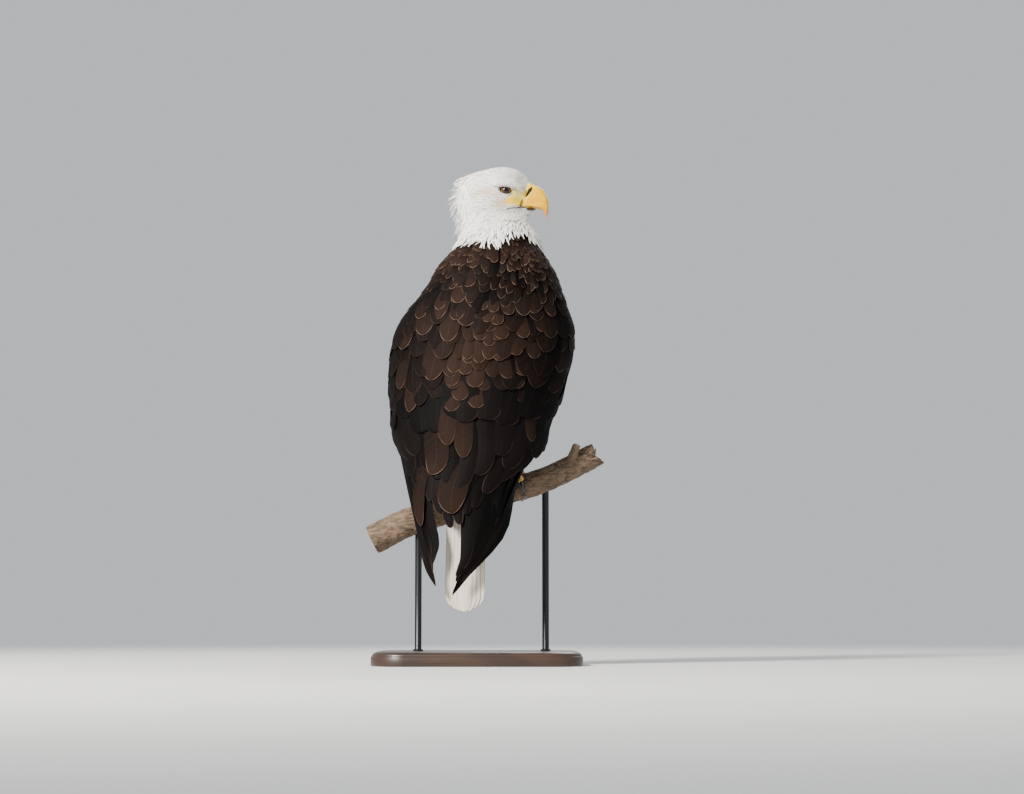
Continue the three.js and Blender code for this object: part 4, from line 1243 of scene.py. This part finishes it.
def bill_mesh(table, count, cere):
    """A bill's loft; the cere is swollen a little and the nostril pressed in. The lower bill is marked
    all over for near-black painted shade.
    """
    path = columns(station(table, np.linspace(0, 1, count) ** 0.9)) / MM
    half_section = eased(BILL_SECTION, 49)
    up, out = columns(np.concatenate([half_section, half_section[-2:0:-1] * (1, -1)]))
    top_x, top_z, edge_x, edge_z, half = path[1:, :, None]
    x, y, z = mix(edge_x, top_x, up), half * out, mix(edge_z, top_z, up)
    # The lower bill is painted near black all over, as shade.
    soft, nostril_and_shade = 0 * x, 0.95 + 0 * x
    if cere:
        line = x - (52.4 + 0.6 * z)
        away = nostril_distance(x, z)
        soft, nostril_and_shade = smooth(5.0, -4.0, line), smooth(0.5, -0.6, away)
        swell = 0.8 * smooth(0.8, -1.2, line) * smooth(0.03, 0.2, up)
        rim = 0.45 * mound(away, 1, 0.7)
        y = y + np.sign(y) * (swell + rim - NOSTRIL_DEEP * nostril_and_shade) * np.minimum(np.abs(y) / 3, 1)
    mesh = build_mesh(*closed_loft(moved(HEAD, point(x, y, z) * MM)))
    marks = point(soft, nostril_and_shade, smooth(-6, -33, z)).reshape(-1, 3)
    vector_attribute(mesh, "mark", np.concatenate([marks, np.zeros((2, 3))]))
    return mesh


def bill_material():
    """Horn: orange-yellow with faint growth lines, a paler matt cere, a tan hook, and near-black
    painted shade in the nostril and its groove and over all of the lower bill.
    """
    s = Shader("bill_horn", Roughness=0.36, Specular_IOR_Level=0.3, Subsurface_Weight=0.06,
               Subsurface_Radius=(0.004, 0.002, 0.001))
    cere, nostril_and_shade, hook = s.parts("mark")
    mottle = s.noise(90.0, 4.0, 0.55)
    lines = s.noise(60.0, 3.0, 0.6, (1.0, 1.0, 5.0))
    horn = s.blend(s.ramp(mottle, 0.35, 0.7), srgb(234, 166, 4), srgb(242, 192, 10))
    horn = s.blend(s.ramp(hook, 0.1, 0.6), horn, srgb(230, 136, 36))
    horn = s.blend(s.ramp(hook, 0.55, 1.0, 0.0, 0.85), horn, srgb(202, 150, 112))
    soft = s.blend(mottle, srgb(242, 188, 20), srgb(248, 208, 56))
    # Painted shade: near black in the nostril and its groove, and over all of the lower bill.
    color = s.blend(nostril_and_shade, s.blend(cere, horn, soft), srgb(30, 20, 12))
    return s.paint(color, s.bump(lines, 0.2, 0.0005), s.ramp(cere, 0.0, 1.0, 0.3, 0.55))


def make_bill():
    material = bill_material()
    show("bill_upper_horn", bill_mesh(UPPER_BILL, 170, True), material, "bill", ["bill_upper"])
    show("bill_lower_horn", bill_mesh(LOWER_BILL, 40, False), material, "bill", ["bill_lower"])


def eye_frame(side):
    """The eye's centre and axes in the head: forwards, outwards along its gaze, and up."""
    gaze = unit(np.array((0.2, -side * 0.97, 0.03)))
    up = unit(np.array((0.0, 0.0, 1.0)) - gaze[2] * gaze)
    centre = np.array((EYE["x"], -side * EYE["side"], EYE["z"]))
    return centre, np.cross(up, gaze) * side, gaze, up


def on_eye(side, spread, turn, radius):
    """Points round an eye: spread from its gaze and turn from forwards, both in radians, at a
    radius in millimetres."""
    centre, ahead, gaze, up = eye_frame(side)
    outward = around(gaze, around(ahead, up, turn), spread)
    return moved(HEAD, (centre + outward * radius[..., None]) * MM)


def lid_opening(turn):
    """How far from the gaze the lids' edge lies, all the way round: an almond, flat on top."""
    ahead, up = np.cos(turn), np.sin(turn)
    long, high, power = np.where(ahead > 0, 56, 49), np.where(up > 0, 21, 30), 1.75
    return np.radians((np.abs(ahead / long) ** power + np.abs(up / high) ** power) ** (-1 / power))


def lid_ring(side):
    """Both lids of an eye as one closed band: its profile goes out over the eye and back inside."""
    profile = [(0, -0.5), (0, 0.25), (1.5, 0.75), (5, 0.95), (12, 0.8), (24, 0.5), (42, -0.9),
               (42, -2), (20, -0.9), (6, -0.9)]
    turn = turns(72)
    rings = [on_eye(side, lid_opening(turn) + np.radians(extra), turn, EYE["radius"] + offset + 0 * turn)
             for extra, offset in profile]
    quads = grid_faces(len(profile), len(turn), closed=True)
    return np.concatenate(rings), [quads if side == RIGHT else quads[:, ::-1]]


def lid_edge_and_brow_shadow(places):
    """1 on the lids' bare dark edge, which is widest under the brow as the brow's painted shadow, and 0
    away from it.
    """
    dark = np.zeros(len(places))
    for side in SIDES.values():
        centre, ahead, gaze, up = eye_frame(side)
        offset = in_head(places).T - centre
        radius = np.linalg.norm(offset, axis=1)
        spread = np.arccos(np.clip(offset @ gaze / radius, -1, 1))
        turn = np.arctan2(offset @ up, offset @ ahead)
        # The dark band is wider on top: painted shadow of the brow.
        wide = mix(14, 24, smooth(-0.2, 0.6, np.sin(turn)))
        near = smooth(1.0, 0.35, np.degrees(spread - lid_opening(turn)) / wide)
        dark = np.maximum(dark, near * (np.abs(radius - EYE["radius"]) < 3.5))
    return dark


def eye_material():
    """A brown-gold iris with darker spokes and rim, a black pupil and a wet surface."""
    s = Shader("eye", Roughness=0.06, Specular_IOR_Level=0.3, Coat_Weight=0.25, Coat_Roughness=0.02)
    spread, turn, _ = s.parts("gaze")
    wheel = s.add("CombineXYZ", {0: s.times(turn, 9.0), 1: s.times(spread, 3.0)})
    spokes = s.noise(2.0, 4.0, 0.7, vector=wheel)
    iris = s.blend(s.ramp(spokes, 0.3, 0.7), srgb(44, 27, 9), srgb(96, 64, 24))
    iris = s.blend(s.ramp(spread, 0.6, 0.86), iris, srgb(176, 132, 60))
    color = s.blend(s.ramp(spread, 0.36, 0.44), srgb(3, 2, 2), iris)
    return s.paint(s.blend(s.ramp(spread, 0.86, 0.94), color, srgb(40, 28, 20)))


def make_eye(name, material):
    """An eyeball whose rings of vertices go round its gaze, with the cornea's bulge."""
    side, last = SIDES[name], 2.2
    spread, turn = np.meshgrid(np.linspace(0.01, last, 44), turns(64), indexing="ij")
    if side == LEFT:
        turn = turn[:, ::-1]
    bulge = 0.7 * (1 - smooth(0.1, 0.7, spread))
    mesh = build_mesh(*closed_loft(on_eye(side, spread, turn, EYE["radius"] + bulge)))
    marks = point(spread, np.abs(turn - np.pi), 0).reshape(-1, 3)
    vector_attribute(mesh, "gaze", np.concatenate([marks, [(0, 0, 0), (last, 0, 0)]]))
    show(f"eyeball_{name}", mesh, material, "eye", [f"eye_{name}"])


# ---------------------------------------------------------------- perch and feet

def perch_point(x):
    """The middle of the branch, at a place across the stand."""
    along = x / (200 * MM)
    return point(x, PERCH["y"], (286 + 50 * along + 26 * along * np.abs(along)) * MM)


def perch_radius(x, angle):
    x = x / MM
    swell = 1 + 0.05 * np.sin(3 * angle + x / 30) + 0.04 * np.sin(x / 23 + angle)
    return PERCH["radius"] * (1 - x / 1900) * swell


def around_perch(x, angle, distance):
    """Points beside the branch: angle 0 is on top of it, and a positive one is round its front."""
    along = unit(perch_point(x + MM) - perch_point(x - MM))
    front = np.array((0.0, 1.0, 0.0))
    return perch_point(x) + around(np.cross(along, front), front, angle) * distance[..., None]


def toe_path(leg, side, toe, t):
    """A toe's middle line and radii at places t."""
    end = math.radians(toe["turn"])
    angle = mix(math.copysign(0.02, end), end, t)
    radii = station(np.column_stack([(0, 0.5, 1), np.array(toe["radii"]) * MM]), t)[:, 1]
    x = leg["foot"] + side * mix(toe["from"], toe["to"], t) * MM
    knuckle = 1.2 * MM * np.sin(3 * np.pi * t)
    level = mix(toe["radii"][0], toe["radii"][2], t) * MM * 0.92
    return around_perch(x, angle, perch_radius(x, angle) + level + knuckle), radii


def scaled_toe(leg, side, toe):
    """A toe with a row of scutes on top, swollen joints and pads below."""
    t = np.linspace(0, 1, 90)
    points, radii = toe_path(leg, side, toe, t)
    heading = unit(np.gradient(points, axis=0))
    across = unit(np.cross(heading, unit(points - perch_point(points[:, 0]))))
    turn = turns(28)
    on_top, below = np.clip(np.cos(turn), 0, 1), np.clip(-np.cos(turn), 0, 1)
    ridge = 0.75 * (((t * 11) % 1.0) ** 0.6)[:, None] * on_top**0.5
    joints = np.abs(np.sin(np.pi * (t * 3 + 0.5)))[:, None]
    pads = 1.5 * joints**2 * below + 0.5 * joints * (1 - below)
    radius = radii[:, None] * 0.97 - 0.5 * MM + (ridge + pads) * MM
    ring = around(np.cross(across, heading)[:, None], across[:, None], turn)
    return closed_loft(points[:, None] + ring * radius[..., None])


def shank_tube(leg):
    """The bare lower leg, with broad scutes down its front, from inside the thigh to the foot."""
    heel = moved(EAGLE, np.array(leg["heel"]) * MM)
    foot = around_perch(leg["foot"], 0.0, perch_radius(leg["foot"], 0.0) + 8 * MM)
    points = eased([heel + (0, 0, 22 * MM), heel, mix(heel, foot, 0.5), foot], 70)
    middle = points[:, None]
    outward = unit(tube_rings(points, np.full(70, 8.6 * MM), 28, (1, 0, 0)) - middle)
    front = np.clip(outward[..., 1], 0, 1)
    scute = ((np.linspace(0, 12, 70) % 1.0) ** 0.6)[:, None]
    return closed_loft(middle + outward * (8.4 + 0.8 * scute * front)[..., None] * MM)


def foot_material():
    """Yellow pebbled skin in paler and darker blotches, darker brown in the creases between the pebbles."""
    s = Shader("foot_skin", Roughness=0.55)
    pebbles = s.add("TexVoronoi", {"Scale": 900.0}, feature="DISTANCE_TO_EDGE")
    blotch = s.noise(70.0)
    skin = s.blend(s.ramp(blotch, 0.35, 0.7), srgb(206, 158, 62), srgb(232, 192, 96))
    color = s.blend(s.ramp(pebbles, 0.0, 0.12, 0.45, 0.0), skin, srgb(120, 84, 36))
    return s.paint(color, s.bump(s.ramp(pebbles, 0.0, 0.2), 0.35, 0.0006))


def claw_mesh(leg, side, toe):
    """A claw, swept on round the branch from inside its toe's end down to the bark."""
    length, radius = np.array(toe["claw"]) * MM
    start = math.radians(toe["turn"])
    sweep = math.copysign(length / (PERCH["radius"] + 5 * MM), start)
    t = np.linspace(0, 1, 40)
    angle = start + sweep * mix(-0.2, 1, t)
    lift = mix(toe["radii"][2] * 0.9, 1.2, t**1.4) * MM + 3 * MM * np.sin(np.pi * t)
    x = leg["foot"] + side * toe["to"] * MM
    points = around_perch(x, angle, perch_radius(x, angle) + lift)
    radii = eased((0.9, 1, 0.72, 0.42, 0.1), 40) * radius
    return build_mesh(*closed_loft(tube_rings(points, radii, 18, (1, 0, 0))))


def claw_material():
    s = Shader("claw_horn", Roughness=0.22, Coat_Weight=0.3, Coat_Roughness=0.15)
    streak = s.noise(120.0, 3.0, 0.6, (3.0, 0.6, 1.0))
    return s.paint(s.blend(streak, srgb(12, 11, 12), srgb(44, 38, 34)), s.bump(streak, 0.1, 0.0004))


def make_feet():
    skin, horn = foot_material(), claw_material()
    for name, leg in LEGS.items():
        side = SIDES[name]
        parts = [shank_tube(leg)] + [scaled_toe(leg, side, toe) for toe in TOES.values()]
        mesh = remeshed(joined(*parts), 0.8 * MM, 2)
        show(f"foot_skin_{name}", mesh, skin, "foot_skin", [f"foot_{name}", f"shank_{name}"])
        for toe_name, toe in TOES.items():
            mesh = claw_mesh(leg, side, toe)
            show(f"talon_{toe_name}_{name}", mesh, horn, "claw", [f"claw_{toe_name}_{name}"])


def bark_relief(points):
    """How far the bark stands out: long interlaced ridges, with finer strands, crumbs and knots."""
    relief = []
    for x, y, z in points.reshape(-1, 3):
        warp = noise.noise(Vector((x * 34, y * 46, z * 46)))
        place = Vector((x * 12 + 0.6 * warp, y * 140 + 1.4 * warp, z * 140 - 1.4 * warp))
        near, second = noise.voronoi(place)[0][:2]
        furrow = min((second - near) * 2.2, 1.0)
        strand = 1 - 2 * abs(noise.noise(Vector((x * 30, y * 380 + warp, z * 380))))
        crumb = noise.fractal(Vector((x * 200, y * 330, z * 330)), 1.0, 2.1, 3)
        swell = noise.noise(Vector((x * 16, y * 30, z * 30)))
        relief.append((furrow - 0.7) * 1.1 + 0.6 * strand + 0.5 * crumb + 0.7 * swell)
    return np.array(relief).reshape(points.shape[:-1])


def bark_marks(relief):
    """What a length of bark's material reads of it: its relief, and bare wood at its two ends."""
    return np.concatenate([point(relief, 0, 0).reshape(-1, 3), [(0, 1, 0), (0, 1, 0)]])


def torn_branch():
    """The branch's rings with their relief, the right end torn into splinters."""
    torn = 16 * MM
    left, right = PERCH["ends"]
    turn = turns(120)
    x, angle = np.meshgrid(np.linspace(left + 0.5 * MM, right - 0.5 * MM, 330), turn, indexing="ij")
    radius = perch_radius(x, angle) - 0.3 * MM
    relief = bark_relief(around_perch(x, angle, radius))
    splinters = [Vector((math.cos(v) * 3, math.sin(v) * 3, 7.0)) for v in turn]
    ragged = np.array([noise.fractal(splinter, 1.0, 2.2, 4) for splinter in splinters])
    end = smooth(0.86, 1.0, (x - x.min()) / np.ptp(x))
    shift = -torn * end * np.clip(0.5 + ragged, 0, 1)
    return around_perch(x + shift, angle, radius + relief * MM), relief


def sawn_face(ring, rounds=24):
    """The sawn face inside the left end's ring of bark: growth rings as shallow steps."""
    middle = ring.mean(0)
    share = np.linspace(0.93, 0.02, rounds)[:, None, None]
    step = 0.25 * MM * (np.arange(rounds) % 2)[:, None, None] + 0.3 * MM
    return closed_loft(middle + (ring - middle) * share + np.array((-1, 0, 0)) * step)


def twig_stump():
    """The rings of a broken twig that grows up and back from the branch, with their relief."""
    start = perch_point(158 * MM)
    stem = eased([start, start + np.array((8, -20, 22)) * MM, start + np.array((14, -30, 39)) * MM], 60)
    rings = tube_rings(stem, eased((10, 8, 6.3), 60) * MM, 40)
    relief = bark_relief(rings)
    return rings + unit(rings - stem[:, None]) * (relief * 0.4 * MM)[..., None], relief


def bark_material():
    """Grey-tan weathered bark: pale plates, dark furrows, some yellow-green crust."""
    s = Shader("bark", Roughness=0.92)
    relief, bare, _ = s.parts("bark")
    fine = s.noise(260.0, 6.0, 0.65, (0.3, 1.0, 1.0))
    broad = s.noise(22.0, 4.0, 0.6)
    plate = s.blend(broad, srgb(98, 78, 60), srgb(152, 129, 104))
    plate = s.blend(s.ramp(fine, 0.35, 0.75, 0.6, 0.0), plate, srgb(74, 60, 48))
    color = s.blend(s.ramp(relief, -1.3, 0.6), srgb(48, 38, 30), plate)
    crust = s.times(s.ramp(s.noise(38.0, 5.0, 0.7), 0.6, 0.72), 0.4)
    color = s.blend(crust, color, srgb(126, 116, 72))
    wood = s.blend(fine, srgb(140, 104, 66), srgb(200, 166, 120))
    return s.paint(s.blend(bare, color, wood), s.bump(fine, 0.55, 0.0015))


def make_perch():
    """The cut length of branch: sawn at its left end, torn at its right, with a twig's stump."""
    branch, branch_relief = torn_branch()
    twig, twig_relief = twig_stump()
    face = sawn_face(branch[0])
    mesh = joined(closed_loft(branch), face, closed_loft(twig))
    face_marks = np.tile((0.5, 1.0, 0.0), (len(face[0]), 1))
    marks = [bark_marks(branch_relief), face_marks, bark_marks(twig_relief)]
    vector_attribute(mesh, "bark", np.concatenate(marks))
    show("perch_bark", mesh, bark_material(), "bark", ["perch"])


# ---------------------------------------------------------------- stand

# The base's side from below: inset from the full outline, and height, in millimetres.
BASE_PROFILE = [(1.2, 0), (0, 1.2), (0, 15), (0.6, 16), (1.8, 16.6), (1.8, 17.4), (3.2, 20), (5.4, 22.2),
                (8.2, 23.5), (12, 24), (60, 24)]
# A rod's side from its collar up to where it is inside the branch: radius and height.
ROD_PROFILE = [(9, 24), (9, 26.4), (8.4, 27), (6.4, 27), (6, 27.6)]


def base_ring(inset, z):
    """A level ring of the base, a rectangle with round corners, anticlockwise."""
    width, depth = BASE["width"] - 2 * inset, BASE["depth"] - 2 * inset
    corner = max(BASE["corner"] - inset, 1 * MM)
    points = []
    for x_side, y_side, start in [(1, -1, -90), (1, 1, 0), (-1, 1, 90), (-1, -1, 180)]:
        angle = np.radians(start + np.linspace(0, 90, 16))
        x = x_side * (width / 2 - corner) + corner * np.cos(angle)
        y = y_side * (depth / 2 - corner) + corner * np.sin(angle)
        points.append(point(x, y, z))
    return np.concatenate(points)


def wood_material():
    """Dark stained wood: long grain, darker late wood and a satin varnish."""
    s = Shader("stand_wood", Roughness=0.38, Coat_Weight=0.25, Coat_Roughness=0.2)
    grain = s.noise(9.0, 5.0, 0.6, (0.35, 5.0, 5.0))
    pores = s.noise(150.0, 3.0, 0.7, (0.06, 1.0, 1.0))
    late = {"Vector": s.place((0.5, 6.0, 6.0)), "Scale": 4.0, "Distortion": 5.0, "Detail": 3.0}
    rings = s.add("TexWave", late)
    color = s.blend(grain, srgb(34, 21, 13), srgb(66, 43, 27))
    color = s.blend(s.ramp(rings, 0.3, 0.9, 0.0, 0.45), color, srgb(26, 15, 9))
    color = s.blend(s.ramp(pores, 0.62, 0.75, 0.0, 0.6), color, srgb(14, 9, 6))
    return s.paint(color, s.bump(pores, 0.12, 0.0004))


def steel_material():
    s = Shader("stand_rod", Roughness=0.35, Metallic=0.85)
    brushed = s.noise(500.0, 2.0, 0.6, (1.0, 1.0, 0.04))
    return s.paint(s.blend(brushed, srgb(36, 36, 38), srgb(62, 62, 66)), s.bump(brushed, 0.06, 0.0003))


def make_stand():
    wood, steel = wood_material(), steel_material()
    rings = [base_ring(inset * MM, z * MM) for inset, z in BASE_PROFILE]
    mesh = build_mesh(*closed_loft(np.array(rings)))
    show("stand_base_wood", mesh, wood, "stand_wood", ["stand_base"], sharp=40)
    for number, x in enumerate(ROD_PLACES, 1):
        top = perch_point(x)[2] - 0.6 * PERCH["radius"]
        radius, z = MM * np.array(ROD_PROFILE + [(6, top / MM)]).T[..., None]
        rings = point(x + radius * np.cos(turns(40)), PERCH["y"] + radius * np.sin(turns(40)), z)
        mesh = build_mesh(*closed_loft(rings))
        show(f"stand_rod_steel_{number}", mesh, steel, "stand_rod", [f"stand_rod_{number}"], sharp=40)


# ---------------------------------------------------------------- studio

CAMERA_AT = np.array((59.5, -3981.6, 82.6)) * MM
AIM_AT = np.array((59.5, 0.0, 466.0)) * MM
BACKDROP, BACKDROP_STRENGTH = srgb(228, 232, 236), 0.8
FLOOR_FADE = (1.0, 3.5)  # how far from the stand the floor turns into the backdrop, in metres
FLOOR_HALF = 40


def add_aimed(name, data, place):
    """A camera or light at a place, that looks at the middle of the bird."""
    made = add_object(name, data)
    made.location = place
    made.rotation_euler = Vector(AIM_AT - np.array(place)).to_track_quat("-Z", "Y").to_euler()
    return made


def make_camera():
    data = bpy.data.cameras.new("camera")
    data.lens = 80.36
    data.sensor_width = 36
    data.clip_end = 200
    bpy.context.scene.camera = add_aimed("camera", data, CAMERA_AT)


def add_light(name, place, size, power, color):
    light = bpy.data.lights.new(name, "AREA")
    light.size = size
    light.energy = power
    light.color = color
    add_aimed(name, light, place)


def make_studio():
    """A pale floor that fades into an even backdrop, and soft lights with the key at upper left."""
    world = bpy.data.worlds.new("studio")
    world.use_nodes = True
    background = world.node_tree.nodes["Background"]
    background.inputs["Color"].default_value = BACKDROP
    background.inputs["Strength"].default_value = BACKDROP_STRENGTH
    bpy.context.scene.world = world
    s = Shader("floor", Roughness=0.9, Specular_IOR_Level=0.0, Emission_Color=BACKDROP)
    distance = s.add("VectorMath", {0: s.place()}, output=1, operation="LENGTH")
    far = s.ramp(distance, *FLOOR_FADE)
    s.set(s.surface, {"Emission_Strength": s.times(far, BACKDROP_STRENGTH)})
    near = s.blend(s.noise(3.0, 2.0), srgb(206, 206, 204), srgb(214, 214, 212))
    corners = [(x * FLOOR_HALF, y * FLOOR_HALF, 0) for x, y in ((-1, -1), (1, -1), (1, 1), (-1, 1))]
    mesh = build_mesh(corners, [np.arange(4)[None]])
    mesh.materials.append(s.paint(s.blend(far, near, (0.0, 0.0, 0.0, 1.0))))
    floor = add_object("floor", mesh)
    floor.location.z = -0.2 * MM
    add_light("key", (-2.6, -3.0, 2.9), 0.8, 600, (1.0, 0.96, 0.9))
    add_light("fill", (2.6, -2.4, 1.6), 2.2, 8, (0.88, 0.94, 1.0))
    add_light("rim", (0.8, 3.0, 2.6), 1.6, 60, (1.0, 0.98, 0.95))


# ---------------------------------------------------------------- the bird

def add_lids(skin):
    """Puts both eyes' lids into the skin's mesh."""
    made = bmesh.new()
    made.from_mesh(skin)
    for side in SIDES.values():
        made.from_mesh(build_mesh(*lid_ring(side)))
    made.to_mesh(skin)
    made.free()


def main():
    make_camera()
    make_studio()
    make_stand()
    make_perch()
    make_feet()
    make_bill()
    eye = eye_material()
    for name in SIDES:
        make_eye(name, eye)

    skin = fine_face(make_skin())
    ground = Ground(skin)
    add_lids(skin)
    mark_skin(skin)
    show("skin", skin, skin_material(), "brown_feathers",
         ["head", "neck", "trunk", "thigh_left", "thigh_right"])

    brown = srgb(4, 3, 3), srgb(38, 26, 20), srgb(128, 105, 88)
    flight = srgb(3, 3, 3), srgb(18, 13, 12), srgb(84, 68, 58)
    white = srgb(206, 202, 194), srgb(250, 248, 242), srgb(224, 196, 156)
    # The tail's whites are painted greyer, as shade.
    shaded_tail_whites = srgb(132, 126, 116), srgb(214, 209, 198), srgb(184, 164, 134)
    coats = {
        "brown": (feather_material("brown_coat", *brown, 0.75, 0.7, 0.66), "brown_feathers"),
        "flight": (feather_material("flight_coat", *flight, 0.6, 0.6, 0.58), "flight_feathers"),
        "white": (white_material("white_coat", *white, 0.8), "white_feathers"),
    }
    small_feathers(ground, coats)
    for number, name in enumerate(SIDES):
        wing(name, np.random.default_rng(61 + number), coats)
    # The tail's feathers have painted shade along their edges, where each meets the next.
    tail(np.random.default_rng(71), (white_material("tail_coat_painted_shade", *shaded_tail_whites, 0.7, edge=0.6), "white_feathers"))


main()
